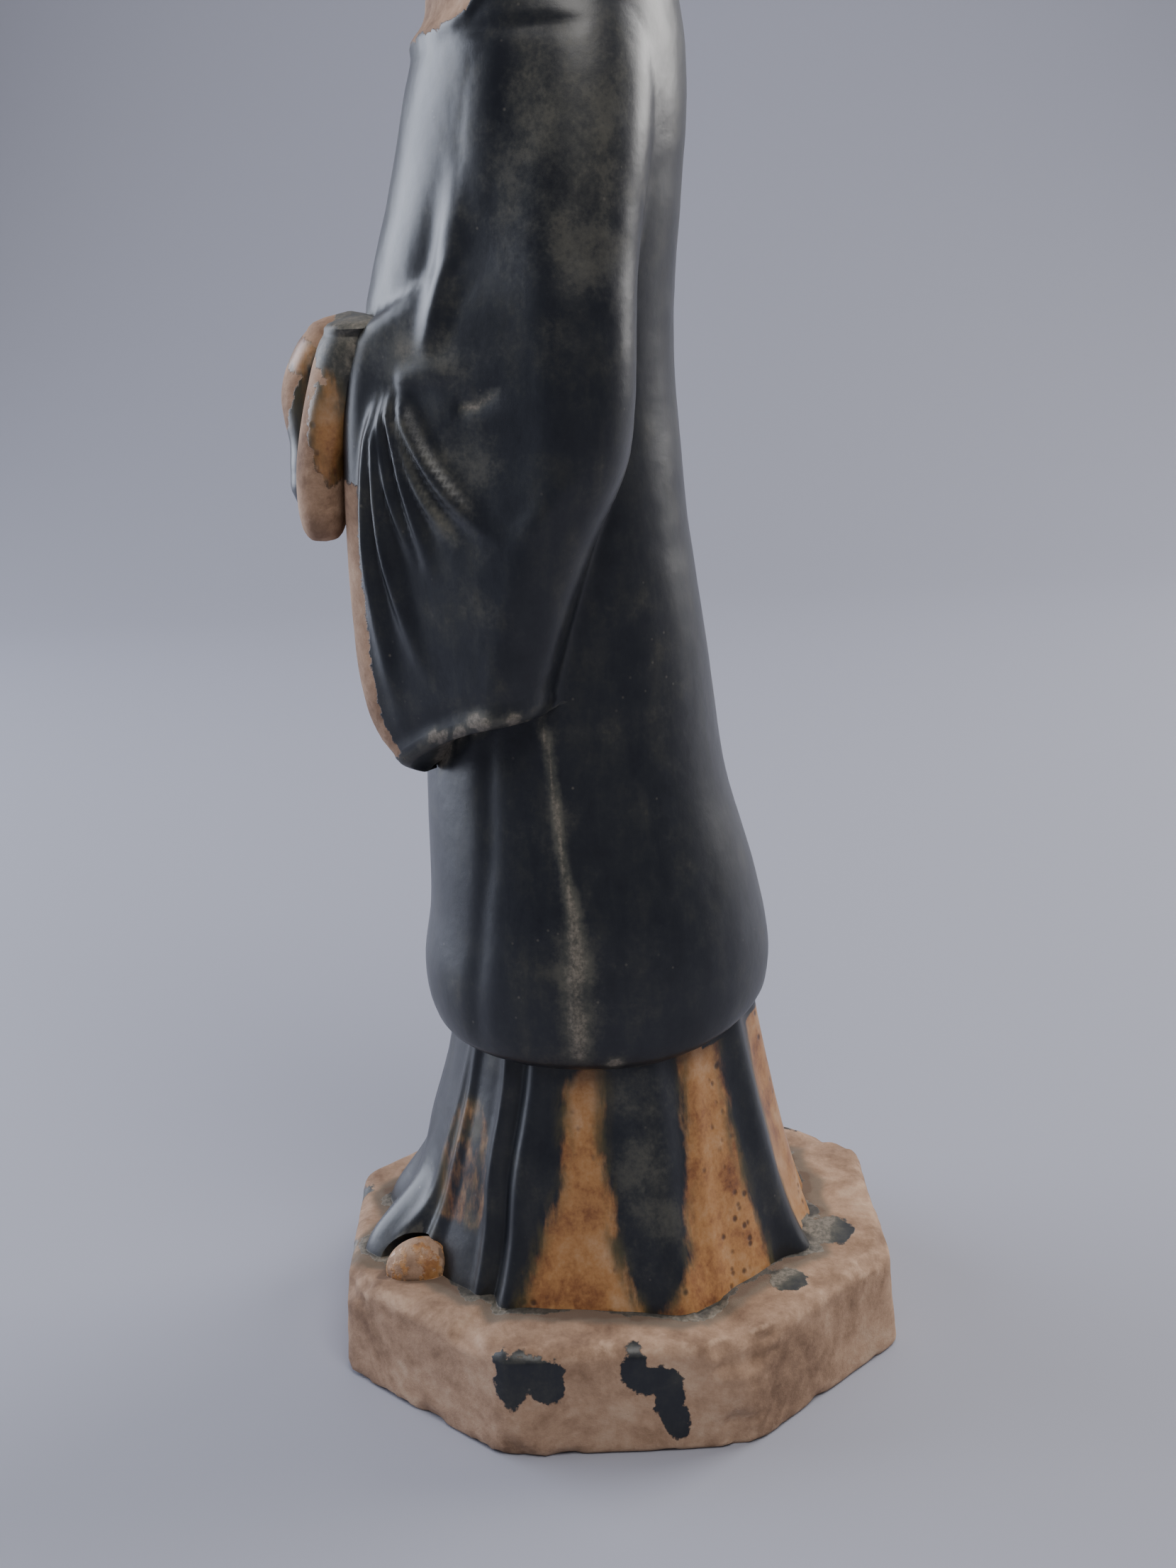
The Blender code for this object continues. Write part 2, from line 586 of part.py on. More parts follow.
def main():
    for thing in list(bpy.data.objects):
        bpy.data.objects.remove(thing, do_unlink=True)
    figure = make_body("tomb_attendant")
    ear_place = (EAR_PLACE[0], EAR_PLACE[1], CHIN + EAR_PLACE[2])
    for side in (1.0, -1.0):
        combine(figure, make_ellipsoid("arch", ARCH_PLACE, ARCH_SIZE, side, SHOE_TURN), "DIFFERENCE")
        combine(figure, make_ellipsoid("shoe", SHOE_PLACE, SHOE_SIZE, side, SHOE_TURN), "UNION")
        combine(figure, make_ellipsoid("ear", ear_place, EAR_SIZE, side), "UNION")
    for table in (LEFT_CUFF, RIGHT_CUFF):
        combine(figure, make_cuff("cuff", table), "UNION")
    thin(figure)
    combine(figure, make_base("base"), "UNION")
    figure.data.materials.clear()
    figure.data.materials.append(glaze())
    figure.data.shade_smooth()
    figure.data.set_sharp_from_angle(angle=math.radians(50.0))


main()
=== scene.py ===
import math

import bmesh
import bpy
import numpy as np
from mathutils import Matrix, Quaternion, Vector, noise


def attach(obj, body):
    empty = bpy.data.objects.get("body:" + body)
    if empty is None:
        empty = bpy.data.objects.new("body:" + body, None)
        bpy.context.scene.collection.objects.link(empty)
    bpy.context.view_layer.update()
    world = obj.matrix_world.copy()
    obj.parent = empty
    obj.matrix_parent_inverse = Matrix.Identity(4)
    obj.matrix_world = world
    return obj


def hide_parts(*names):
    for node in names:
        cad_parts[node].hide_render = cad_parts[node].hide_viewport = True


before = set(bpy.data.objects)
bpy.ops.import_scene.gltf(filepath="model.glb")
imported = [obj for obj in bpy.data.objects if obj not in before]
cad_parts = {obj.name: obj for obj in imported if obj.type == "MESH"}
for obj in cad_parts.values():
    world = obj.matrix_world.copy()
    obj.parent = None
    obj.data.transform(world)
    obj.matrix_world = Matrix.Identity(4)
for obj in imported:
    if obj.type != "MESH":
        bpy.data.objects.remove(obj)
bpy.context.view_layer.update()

# Driving dimensions, in metres
FIGURE_HEIGHT = 0.222       # base top to the crown of the cap
FIGURE_SUNK = 0.003         # depth that the skirt is pressed into the base
BASE_ACROSS = 0.078         # across the flats of the octagon, at the foot
BASE_THICKNESS = 0.015
BASE_BATTER = 0.0008        # how far each side leans in from foot to top
BASE_TOP_ROUND = 0.0020     # worn rounding of the top edge
BASE_FOOT_ROUND = 0.0008    # worn rounding of the foot edge

# Profiles, drawn: height, centre y, side half-width, front depth, back depth
SKIRT = (
    (-6.0, -0.5, 30.6, 31.0, 29.2),
    (0.0, -0.5, 29.2, 29.4, 27.9),
    (4.0, -0.5, 27.8, 28.0, 26.7),
    (8.0, -0.5, 26.6, 26.6, 25.7),
    (16.0, -0.6, 24.8, 24.7, 24.1),
    (25.0, -0.7, 22.6, 21.9, 22.6),
    (35.0, -0.8, 20.8, 19.6, 21.2),
)
ROBE = (
    (31.0, -0.8, 22.6, 21.0, 20.8),
    (33.0, -0.8, 23.9, 22.4, 22.0),
    (36.0, -0.8, 24.7, 23.6, 23.2),
    (40.0, -0.9, 24.8, 24.0, 23.9),
    (50.0, -1.1, 23.8, 22.6, 23.0),
    (66.0, -1.8, 20.8, 21.2, 19.6),
    (85.0, -2.6, 18.6, 19.0, 18.2),
    (105.0, -3.6, 17.6, 17.0, 17.0),
    (120.0, -4.6, 17.6, 18.6, 17.2),
    (128.0, -4.6, 18.4, 22.2, 17.4),
    (133.0, -4.5, 19.2, 21.3, 17.6),
    (142.0, -3.8, 20.6, 19.4, 17.8),
    (154.0, -2.4, 21.4, 17.8, 17.6),
    (162.0, -1.6, 21.2, 16.3, 16.4),
    (167.0, -1.5, 19.4, 15.0, 15.2),
    (171.0, -1.8, 15.8, 12.7, 12.9),
    (174.0, -2.3, 11.9, 10.6, 10.8),
    (177.0, -2.7, 9.4, 9.0, 9.5),
    (181.0, -3.0, 8.3, 8.2, 8.8),
    (184.0, -3.0, 8.3, 8.2, 8.8),
)
# Head and cap, drawn the same way, with heights above the chin
HEAD = (
    (-1.5, -3.0, 8.2, 8.2, 8.8),
    (0.4, -3.1, 8.5, 9.0, 9.0),
    (2.0, -3.2, 9.4, 10.6, 9.4),
    (5.0, -3.3, 10.6, 11.6, 10.2),
    (10.0, -3.3, 11.8, 11.9, 11.4),
    (16.0, -3.2, 12.4, 12.0, 12.4),
    (22.0, -3.1, 12.3, 12.2, 12.8),
    (30.0, -3.0, 11.6, 11.6, 12.4),
)
CAP = (
    (25.5, -3.0, 12.7, 12.7, 13.4),
    (28.0, -3.0, 13.1, 13.0, 13.8),
    (32.0, -3.0, 12.8, 12.7, 13.4),
    (36.0, -2.9, 10.9, 10.9, 11.3),
    (38.5, -2.8, 7.2, 7.2, 7.5),
    (39.7, -2.8, 3.4, 3.4, 3.5),
    (40.0, -2.8, 1.0, 1.0, 1.0),
)
LAYERS = {"skirt": SKIRT, "gown": ROBE, "robe": ROBE, "head": HEAD, "cap": CAP}
SECTION_POWER = {"skirt": 2.0, "gown": 2.12, "robe": 2.12, "head": 2.1, "cap": 2.0}

# Levels, drawn
ROBE_HEM = 32.0
SLEEVE_LEVEL = 74.0         # the row that is bent onto the sleeve's hem
CHIN = 182.0
BROW = 26.6                 # from the chin up to the edge of the cap
CAP_EDGE = CHIN + BROW
CROWN = CHIN + CAP[-1][0]
UNIT = FIGURE_HEIGHT / CROWN

# One arm in its wide sleeve, drawn: height, then x, y and radius of its rear and of its front rounding
ARM = (
    (66.0, 18.4, -13.0, 4.0, 13.0, -17.0, 3.4),
    (70.0, 18.8, -13.0, 4.4, 12.6, -18.8, 4.0),
    (72.5, 19.2, -12.6, 4.8, 12.0, -21.3, 4.6),
    (76.5, 19.5, -11.8, 5.1, 11.0, -23.5, 5.0),
    (82.0, 19.6, -10.8, 5.4, 10.4, -24.8, 5.1),
    (90.0, 20.0, -9.0, 5.8, 10.0, -25.3, 5.1),
    (100.0, 20.6, -6.0, 6.5, 9.6, -25.4, 5.1),
    (111.0, 21.0, -1.8, 7.2, 9.2, -25.1, 5.1),
    (118.0, 20.6, -1.2, 7.6, 9.0, -24.5, 5.2),
    (124.0, 19.8, -1.2, 8.0, 9.0, -23.3, 5.4),
    (127.0, 19.2, -1.2, 8.2, 9.6, -21.5, 5.6),
    (130.0, 18.8, -1.2, 8.4, 11.5, -16.5, 6.0),
    (134.0, 18.0, -1.0, 8.6, 13.5, -10.5, 6.6),
    (140.0, 17.0, -0.6, 9.0, 14.0, -7.0, 8.0),
    (150.0, 15.2, 0.2, 9.6, 13.5, -5.0, 9.0),
    (158.0, 13.6, 0.6, 9.4, 12.5, -4.0, 9.0),
    (164.0, 11.6, 0.4, 8.6, 11.0, -3.5, 8.2),
    (169.0, 8.8, 0.0, 6.6, 8.6, -3.0, 6.4),
    (173.0, 6.0, -1.0, 4.6, 6.0, -3.0, 4.6),
    (184.0, 2.0, -2.0, 2.0, 2.0, -3.0, 2.0),
)
ARM_STEPS = 64
WALL_SLOPE = 2.2            # how steeply a rounding falls away beyond its own edge
JOINING = 1.1               # sharpness of the crease where arm and gown meet
SLEEVE_TIP = 70.2           # height of the sleeve's lowest point, at its front
SLEEVE_RISE = 11.5
SLEEVE_TIP_ANGLE = 28.0
SLEEVE_RISE_ANGLE = 28.0
HEM_BEND = 22.0
HEM_ROUND = 1.1             # height over which a hem turns up into the face above it
HEM_CLEAR = 0.5             # overhang beyond which a hem has its full lip

# Folds in the side view, drawn: start, bend and end as (y, height), then width and relief
FOLDS = (
    ((-24.0, 120.4), (-30.2, 104.2), (-24.2, 75.0), 0.95, 1.4),
    ((-23.8, 120.4), (-28.0, 103.0), (-20.2, 82.0), 0.95, 1.5),
    ((-23.6, 120.4), (-25.6, 108.5), (-20.6, 97.5), 0.85, 1.3),
    ((-23.3, 120.4), (-22.8, 111.5), (-19.0, 95.5), 0.90, 1.4),
    ((-22.8, 120.4), (-21.6, 105.8), (-14.6, 101.2), 0.90, 1.2),
    ((-22.3, 120.8), (-19.9, 107.8), (-9.2, 101.2), 1.05, 1.6),
    ((-18.6, 123.2), (-14.6, 137.5), (-12.8, 148.4), 1.40, 1.0),
    ((-19.8, 128.4), (-16.0, 137.0), (-16.4, 146.0), 1.70, -0.35),
    ((-18.9, 123.4), (-17.2, 129.8), (-12.0, 136.0), 1.20, 0.7),
    ((-22.6, 120.2), (-19.8, 123.2), (-12.8, 122.2), 1.10, 0.65),
    ((-15.8, 118.0), (-12.2, 117.5), (-8.4, 120.6), 0.80, -0.5),
    ((-1.6, 111.0), (-4.6, 105.0), (-9.6, 101.2), 1.50, 0.4),
)
FOLD_STEPS = 10
FOLD_START = 0.20           # share of a fold's length over which it rises
FOLD_END = 0.50             # share at which it starts to die away

# Pleats of the underskirt: angle at the hem, angle at the foot, width in degrees, relief
PLEATS = (
    (4.0, 3.0, 4.0, 0.5),
    (31.0, 20.0, 2.6, 0.7),
    (36.0, 28.5, 2.4, 0.8),
    (51.5, 50.0, 2.4, 0.8),
    (57.5, 53.2, 3.4, -1.1),
    (64.0, 58.5, 4.6, 1.3),
    (84.0, 80.0, 10.0, -0.7),
    (103.0, 106.0, 8.0, 2.2),
    (121.0, 117.0, 4.0, 0.6),
    (146.0, 150.0, 6.0, 1.4),
    (168.0, 171.0, 6.0, 0.8),
)
TOE_REACH = 6.8             # how far each shoe pushes the hem out at its foot
TOE_HEIGHT = 9.0
TOE_ANGLE = 13.5
TOE_WIDTH = 9.0
POINT_SPREAD = 1.0          # the pointed foot of the rear pleat
POINT_HEIGHT = 3.6
POINT_ANGLE = 153.0
POINT_WIDTH = 6.0

# Crossed collar and shoulder crease, drawn
COLLAR = (
    (0.0, 160.2), (30.0, 160.8), (47.0, 161.2), (55.0, 161.9), (62.0, 163.0), (68.0, 165.6), (80.0, 169.0),
    (110.0, 171.5), (180.0, 172.0),
)
COLLAR_WIDTH = 1.1
COLLAR_RELIEF = 0.6
COLLAR_SINK = -0.5          # how far the neck lies behind the collar's edge
CREASE_HEIGHT = 160.5
CREASE_WIDTH = 0.9
CREASE_RELIEF = -0.5
CREASE_START = 62.0         # degrees from the front, where it begins and ends over the shoulder
CREASE_END = 96.0
CREASE_FADE = 7.0
COLLAR_BACK = 3.0           # how far above the edge the neck is deepest, in collar widths

# Hands in their hanging cuffs, the left behind the right: height, centre x and y, half-width, half-depth
LEFT_CUFF = (
    (100.3, 4.9, -33.7, 0.3, 0.3),
    (100.7, 4.9, -33.7, 2.6, 1.6),
    (101.6, 4.9, -33.7, 3.9, 2.4),
    (103.4, 4.9, -33.7, 4.9, 2.9),
    (106.5, 4.9, -33.6, 5.4, 3.2),
    (110.0, 4.9, -33.2, 5.6, 3.4),
    (114.0, 5.0, -32.2, 5.8, 3.7),
    (117.0, 5.1, -31.2, 6.0, 4.0),
    (120.5, 5.3, -29.8, 6.3, 4.4),
    (123.5, 5.6, -28.6, 6.4, 4.6),
    (126.4, 5.9, -27.6, 6.0, 4.2),
    (128.2, 6.2, -27.0, 4.4, 3.0),
    (128.8, 6.2, -26.8, 0.3, 0.3),
)
RIGHT_CUFF = (
    (103.5, -4.6, -36.0, 0.3, 0.3),
    (103.9, -4.6, -36.0, 2.6, 1.3),
    (105.4, -4.6, -36.0, 4.4, 2.4),
    (108.8, -4.7, -35.7, 5.4, 2.9),
    (112.5, -4.8, -35.2, 5.8, 3.2),
    (115.0, -4.8, -34.9, 6.0, 3.9),
    (118.5, -4.9, -34.4, 6.3, 4.6),
    (120.8, -5.0, -33.7, 6.4, 4.8),
    (123.5, -5.2, -32.4, 6.5, 4.9),
    (126.2, -5.5, -30.8, 6.0, 4.6),
    (128.0, -5.8, -29.6, 4.4, 3.3),
    (128.7, -5.8, -29.4, 0.3, 0.3),
)
CUFF_POWER = 2.5            # a little squarer than an ellipse
# Shoe under the lifted hem, and the arch that the hem makes over it, drawn
SHOE_PLACE = (14.6, -27.4, 0.2)
SHOE_SIZE = (3.5, 5.0, 4.1)
ARCH_PLACE = (14.8, -29.8, 0.0)
ARCH_SIZE = (4.5, 7.6, 4.9)
SHOE_TURN = math.radians(14.0)
EAR_PLACE = (12.2, -1.4, 16.4)   # its height is above the chin
EAR_SIZE = (1.5, 2.5, 4.8)

# Face, drawn: x, height above the chin, half-width, half-height, relief; generic and evenly spaced
FACE = (
    (0.0, 21.2, 1.3, 3.4, 1.0),
    (0.0, 14.8, 1.7, 2.3, 2.3),
    (2.0, 13.2, 1.0, 1.0, 0.9),
    (4.6, 19.4, 2.8, 2.0, -1.4),
    (4.6, 19.4, 2.3, 1.05, 1.1),
    (4.7, 22.8, 3.4, 0.9, 0.5),
    (6.4, 14.0, 3.0, 3.2, 0.5),
    (0.0, 9.4, 2.5, 0.7, 0.9),
    (0.0, 8.5, 2.9, 0.28, -0.7),
    (0.0, 7.5, 2.1, 0.8, 0.9),
    (0.0, 5.7, 2.4, 0.6, -0.4),
    (0.0, 3.4, 3.1, 1.8, 1.0),
)

# Fineness of the carved surface
COLUMNS = 256
FOLD_ANGLE = 38.0
FOLD_CROWDING = 1.5
ROW_STEPS = {"skirt": 1.0, "gown": 1.3, "robe": 0.95, "yoke": 0.6, "head": 0.48, "cap": 0.7}
YOKE = 157.0                # level where the rows close up for the collar and its crease
BLOB_SIDES = 48
EDGE_COLUMNS = 272          # columns round the base
SMALL_CHIPS = 90            # nicks scattered along the base's edges

# Mould seam and flute down each side of the gown: angle, height
SEAM = (
    (75.0, 79.5), (78.0, 75.0), (79.5, 69.0), (80.0, 65.0),
    (81.0, 60.1), (83.0, 54.0), (83.0, 48.0), (82.0, 37.5),
)
FLUTE = ((54.0, 76.0), (54.0, 60.9), (51.0, 51.4), (48.0, 39.4))
GOWN_ARC = 0.42             # drawn millimetres round the gown for each degree
# Amber stripes of the underskirt: angle and height down their left and then their right edge
AMBER = (
    (
        ((81, 31.5), (74, 27.7), (75, 20.6), (75, 16.5), (70, 11.2), (66, 5.4), (64, 0.6), (63, -8.0)),
        ((88, 32.4), (89, 28.3), (87, 22.9), (88, 17.9), (90, 13.8), (89, 9.3), (92, 4.7), (96, -0.2),
         (97, -8.0)),
    ),
    (
        ((117, 33.0), (117, 26.7), (116, 22.2), (114, 16.4), (111, 12.6), (110, 5.8), (104, 1.7),
         (101, -0.5), (100, -8.0)),
        ((135, 33.0), (135, 24.7), (134, 17.5), (136, 11.5), (138, 6.2), (139, 0.0), (139, -8.0)),
    ),
    (
        ((158, 33.5), (154, 26.2), (154, 18.8), (155, 11.0), (157, 3.5), (158, 0.0), (158, -8.0)),
        ((176, 33.5), (177, 20.0), (176, 10.0), (178, 0.0), (178, -8.0)),
    ),
    (
        ((30, 24.0), (25, 20.0), (24, 14.6), (25, 10.0), (27, 7.0)),
        ((43, 24.0), (48, 20.0), (49, 14.6), (49, 10.0), (46, 7.0)),
    ),
)
# Bare strip along the front of each sleeve: degrees round the sleeve's front rounding, and its heights
STRIP_MIDDLE = 1.5
STRIP_HALF = 52.5
STRIP_LOW = 73.5
STRIP_HIGH = 108.5
# Pale rubbed fold and crease of the sleeve and the dark band between the hands: y, height
PALE_FOLD = ((-22.4, 116.0), (-20.8, 109.0), (-16.2, 102.0))
PALE_CREASE = ((-14.1, 117.8), (-12.4, 118.3), (-10.2, 119.6))
DARK_BAND = (
    (-28.0, 127.0), (-31.5, 124.6), (-34.6, 120.6), (-36.4, 116.5),
    (-37.5, 112.9), (-37.9, 108.0), (-37.6, 104.0),
)
# Ragged front edge of the dark glaze on each cuff, from the top down: y, height
LEFT_EDGE = (
    (-33.0, 128.0), (-33.4, 124.5), (-31.4, 121.5), (-30.6, 119.0),
    (-30.3, 116.3), (-29.7, 111.0), (-30.1, 108.0),
)
RIGHT_EDGE = ((-31.2, 128.0), (-32.4, 125.2), (-33.3, 123.0), (-34.0, 121.0), (-31.0, 116.0))
# Pale flakes along the sleeve's hem: y and height above the hem
FLAKES = ((-10.2, 0.8), (-14.0, 1.0), (-15.2, 1.6), (-17.2, 0.6), (-19.4, 1.0), (-20.6, 1.5))
# Glaze drops on the base's top: x, y and half-sizes
DROPS = ((9.5, 30.5, 3.5, 3.0), (22.6, 22.7, 3.0, 2.6), (-24.5, 21.5, 2.6, 2.2), (-6.0, -33.4, 1.6, 1.3))
# Glaze runs on the base's sides: side number from +X towards +Y, then place along it, height and half-sizes
RUNS = (
    (0, ((-13.2, 12.0, 3.6, 2.6), (-15.0, 10.0, 2.1, 3.0), (-10.2, 10.6, 2.2, 3.2), (-16.3, 14.0, 0.7, 3.0),
         (1.0, 11.9, 1.7, 3.0), (3.4, 10.2, 3.2, 2.0), (5.4, 7.4, 2.0, 3.9), (6.2, 4.4, 1.7, 2.6))),
    (3, ((-4.0, 11.5, 3.0, 3.4), (-3.4, 6.0, 1.5, 4.0), (8.0, 13.0, 2.0, 1.8))),
    (4, ((2.0, 11.0, 4.0, 3.6), (3.6, 5.5, 2.0, 5.0), (-9.0, 12.6, 2.4, 2.6))),
    (6, ((6.0, 12.0, 3.0, 2.6), (5.0, 8.0, 1.4, 3.6), (-10.0, 13.2, 2.2, 1.6))),
)
# Larger chips in the base's edges: degrees from +X towards +Y, height, half-width, half-height, depth
CHIPS = (
    (23.0, 13.4, 5.0, 4.2, 1.3), (21.0, 2.4, 2.8, 3.6, 0.9), (-21.0, 0.6, 2.2, 2.4, 0.7),
    (-33.0, 14.6, 3.0, 1.6, 0.7), (66.0, 14.6, 4.2, 2.2, 1.0), (112.0, 0.4, 3.4, 2.0, 0.8),
    (142.0, 14.8, 2.6, 1.4, 0.6), (203.0, 13.8, 4.4, 3.4, 1.2), (238.0, 0.4, 2.6, 1.8, 0.7),
    (262.0, 14.8, 2.4, 1.2, 0.5), (292.0, 13.6, 4.0, 3.0, 1.1), (317.0, 0.3, 2.4, 1.6, 0.6),
)
HEM_LIFT = 1.3              # how far the gown's hem rises at its front
BACK_HEM_LIFT = 3.8         # the same at its back
LIFT_SPREAD = 9.0           # height over which the rows near the hem follow it
RIGHT_SHOE_BACK = 2.4       # how much farther back the right shoe stands
RIGHT_TOE = 0.6             # spread of the hem over the right shoe, as a share of the left one
BASE_POWER = 80.0           # higher makes the upright corners sharper
REGIONS = ("body", "base", "left_cuff", "right_cuff", "shoe", "ear")

# Camera, fitted to the viewing angle, and lights: name, place, size, watts, colour
EYE = (0.26185, -0.00428, 0.15478)
TARGET = (0.0, -0.00111, 0.0794)
FOCAL = 2800.0              # focal length in pixels of a picture 2212 high
ROLL = 2.6
LIT_POINT = (0.0, 0.0, 0.11)
LIGHTS = (
    ("key", (-0.36, 0.68, 0.42), (0.44, 0.56), 7.6, (1.0, 0.98, 0.96)),
    ("left", (-0.26, -0.60, 0.27), (0.60, 0.52), 7.0, (0.80, 0.86, 1.0)),
    ("front", (0.52, 0.14, 0.92), (0.55, 0.55), 8.0, (1.0, 0.97, 0.93)),
    ("wall", (-0.40, 0.10, 0.95), (0.70, 0.90), 2.5, (0.93, 0.95, 1.0)),
)


def along(table, heights):
    """All columns of a profile table at the given heights, on a smooth curve through its rows."""
    rows = np.array(table)
    knots = rows[:, 0]
    values = rows[:, 1:]
    slopes = np.gradient(values, knots, axis=0)
    place = np.clip(heights, knots[0], knots[-1])
    row = np.clip(np.searchsorted(knots, place, side="right") - 1, 0, len(knots) - 2)
    gap = knots[row + 1] - knots[row]
    t = ((place - knots[row]) / gap)[..., None]
    gap = gap[..., None]
    start = (2.0 * t ** 3 - 3.0 * t ** 2 + 1.0) * values[row]
    leave = (t ** 3 - 2.0 * t ** 2 + t) * gap * slopes[row]
    end = (3.0 * t ** 2 - 2.0 * t ** 3) * values[row + 1]
    arrive = (t ** 3 - t ** 2) * gap * slopes[row + 1]
    return start + leave + end + arrive


def bump(distance, width):
    return np.exp(-(distance / width) ** 2)


def fade(value, start, end):
    """0 before start, 1 after end, and smooth between them."""
    t = np.clip((value - start) / (end - start), 0.0, 1.0)
    return t * t * (3.0 - 2.0 * t)


def section(layer, angle, height):
    """Centre y and radius of the plain profile of a layer."""
    level = height - CHIN if layer in ("head", "cap") else height
    centre, side, front, back = np.moveaxis(along(LAYERS[layer], level), -1, 0)
    depth = np.where(np.cos(angle) > 0.0, front, back)
    power = SECTION_POWER[layer]
    reach = np.abs(np.sin(angle) / side) ** power + np.abs(np.cos(angle) / depth) ** power
    return centre, reach ** (-1.0 / power)


def arm_radius(angle, height, centre):
    """Far side of one arm's sleeve, seen from the axis; the other arm mirrors it."""
    rear_x, rear_y, rear_r, front_x, front_y, front_r = np.moveaxis(along(ARM, height), -1, 0)
    side = np.abs(angle)
    far = np.full(np.shape(side), -1.0e3)
    for step in range(ARM_STEPS + 1):
        share = step / ARM_STEPS
        x = rear_x + (front_x - rear_x) * share
        y = rear_y + (front_y - rear_y) * share - centre
        radius = rear_r + (front_r - rear_r) * share
        forward = x * np.sin(side) - y * np.cos(side)
        sideways = np.abs(x * np.cos(side) + y * np.sin(side))
        inside = np.sqrt(np.maximum(radius ** 2 - sideways ** 2, 0.0))
        outside = WALL_SLOPE * np.maximum(sideways - radius, 0.0)
        far = np.maximum(far, forward + inside - outside)
    return far


def join(first, second):
    """The larger radius, with a small fillet where the two cross."""
    high = np.maximum(first, second)
    low = np.minimum(first, second)
    return high + np.log1p(np.exp(JOINING * (low - high))) / JOINING * 0.6


def fold_relief(y, height):
    """Relief of the drapery folds: ridges meet in sharp valleys, and grooves cut into them."""
    place = np.stack(np.broadcast_arrays(y, height), axis=-1)
    ridges = np.zeros(np.shape(y))
    grooves = np.zeros(np.shape(y))
    for start, bend, end, width, amount in FOLDS:
        t = np.linspace(0.0, 1.0, FOLD_STEPS + 1)[:, None]
        curve = (1 - t) ** 2 * np.array(start) + 2 * t * (1 - t) * np.array(bend) + t ** 2 * np.array(end)
        nearest = np.full(np.shape(y), 1.0e3)
        spot = np.zeros(np.shape(y))
        for step in range(FOLD_STEPS):
            run = curve[step + 1] - curve[step]
            share = np.clip(((place - curve[step]) @ run) / (run @ run), 0.0, 1.0)
            gap = np.linalg.norm(place - curve[step] - share[..., None] * run, axis=-1)
            spot = np.where(gap < nearest, (step + share) / FOLD_STEPS, spot)
            nearest = np.minimum(nearest, gap)
        strength = fade(spot, 0.0, FOLD_START) * (1.0 - fade(spot, FOLD_END, 1.0))
        relief = amount * strength * bump(nearest, width)
        ridges = np.maximum(ridges, relief)
        grooves = np.minimum(grooves, relief)
    return ridges + grooves


def pleat_relief(angle, height):
    """Pleats of the underskirt, deeper towards the foot, and its spread front and pointed rear pleat."""
    side = np.degrees(np.abs(angle))
    down = 1.0 - np.clip(height, 0.0, ROBE_HEM) / ROBE_HEM
    relief = np.zeros(np.shape(side))
    for top, foot, width, amount in PLEATS:
        middle = top + (foot - top) * down + 0.7 * np.sin(height * 0.22 + top)
        relief = relief + amount * (0.75 + 0.45 * down) * bump(side - middle, width)
    push = np.where(angle < 0.0, RIGHT_TOE, 1.0) * TOE_REACH * bump(np.maximum(height, 0.0), TOE_HEIGHT)
    relief = relief + push * bump(side - TOE_ANGLE, TOE_WIDTH)
    point = POINT_SPREAD * np.exp(-np.maximum(height, 0.0) / POINT_HEIGHT)
    return relief + point * bump(side - POINT_ANGLE, POINT_WIDTH)


def collar_line(side):
    """Height of the collar's edge at an angle from the front, in degrees."""
    points = np.array(COLLAR)
    return np.interp(side, points[:, 0], points[:, 1])


def collar_relief(angle, height):
    """Raised edge of the round collar, the sunk neck behind it, and the crease over each shoulder."""
    side = np.degrees(np.abs(angle))
    above = height - collar_line(side)
    edge = COLLAR_RELIEF * bump(above, COLLAR_WIDTH)
    neck = COLLAR_SINK * bump(above - COLLAR_BACK * COLLAR_WIDTH, 2.0 * COLLAR_WIDTH)
    crease = CREASE_RELIEF * bump(height - CREASE_HEIGHT, CREASE_WIDTH)
    over = fade(side, CREASE_START - CREASE_FADE, CREASE_START + CREASE_FADE)
    over = over * (1.0 - fade(side, CREASE_END - CREASE_FADE, CREASE_END + CREASE_FADE))
    return edge + neck + crease * over


def face_relief(x, level):
    relief = np.zeros(np.shape(x))
    for place, middle, width, tall, amount in FACE:
        relief = relief + amount * bump(np.abs(x) - place, width) * bump(level - middle, tall)
    return relief


def surface(layer, angle, height):
    """Centre y and radius of the carved surface of a layer."""
    centre, radius = section(layer, angle, height)
    if layer == "skirt":
        radius = radius + pleat_relief(angle, height)
    if layer == "robe":
        radius = join(radius, arm_radius(angle, height, centre))
        on_side = fade(np.abs(angle), math.radians(12.0), math.radians(20.0))
        radius = radius + fold_relief(centre - radius * np.cos(angle), height) * on_side
        radius = radius + collar_relief(angle, height)
    if layer == "head":
        in_front = fade(np.cos(angle), 0.1, 0.5)
        radius = radius + face_relief(radius * np.sin(angle), height - CHIN) * in_front
    return centre, radius


def plain_rows(start, end, step, layer):
    """Evenly spaced rows of one layer, without its end rows."""
    count = max(2, round((end - start) / step))
    levels = [start + (end - start) * i / count for i in range(1, count)]
    return [(level, layer, layer, 1.0, level) for level in levels]


def column_angles():
    """Angles of the columns, closer together over the folded front of each sleeve."""
    spot = np.linspace(-math.pi, math.pi, 2000)
    crowd = 1.0 + FOLD_CROWDING * bump(np.abs(spot) - math.radians(FOLD_ANGLE), math.radians(22.0))
    share = np.cumsum(crowd) / np.sum(crowd)
    return np.interp(np.arange(1, COLUMNS + 1) / COLUMNS - 0.5 / COLUMNS, share, spot)


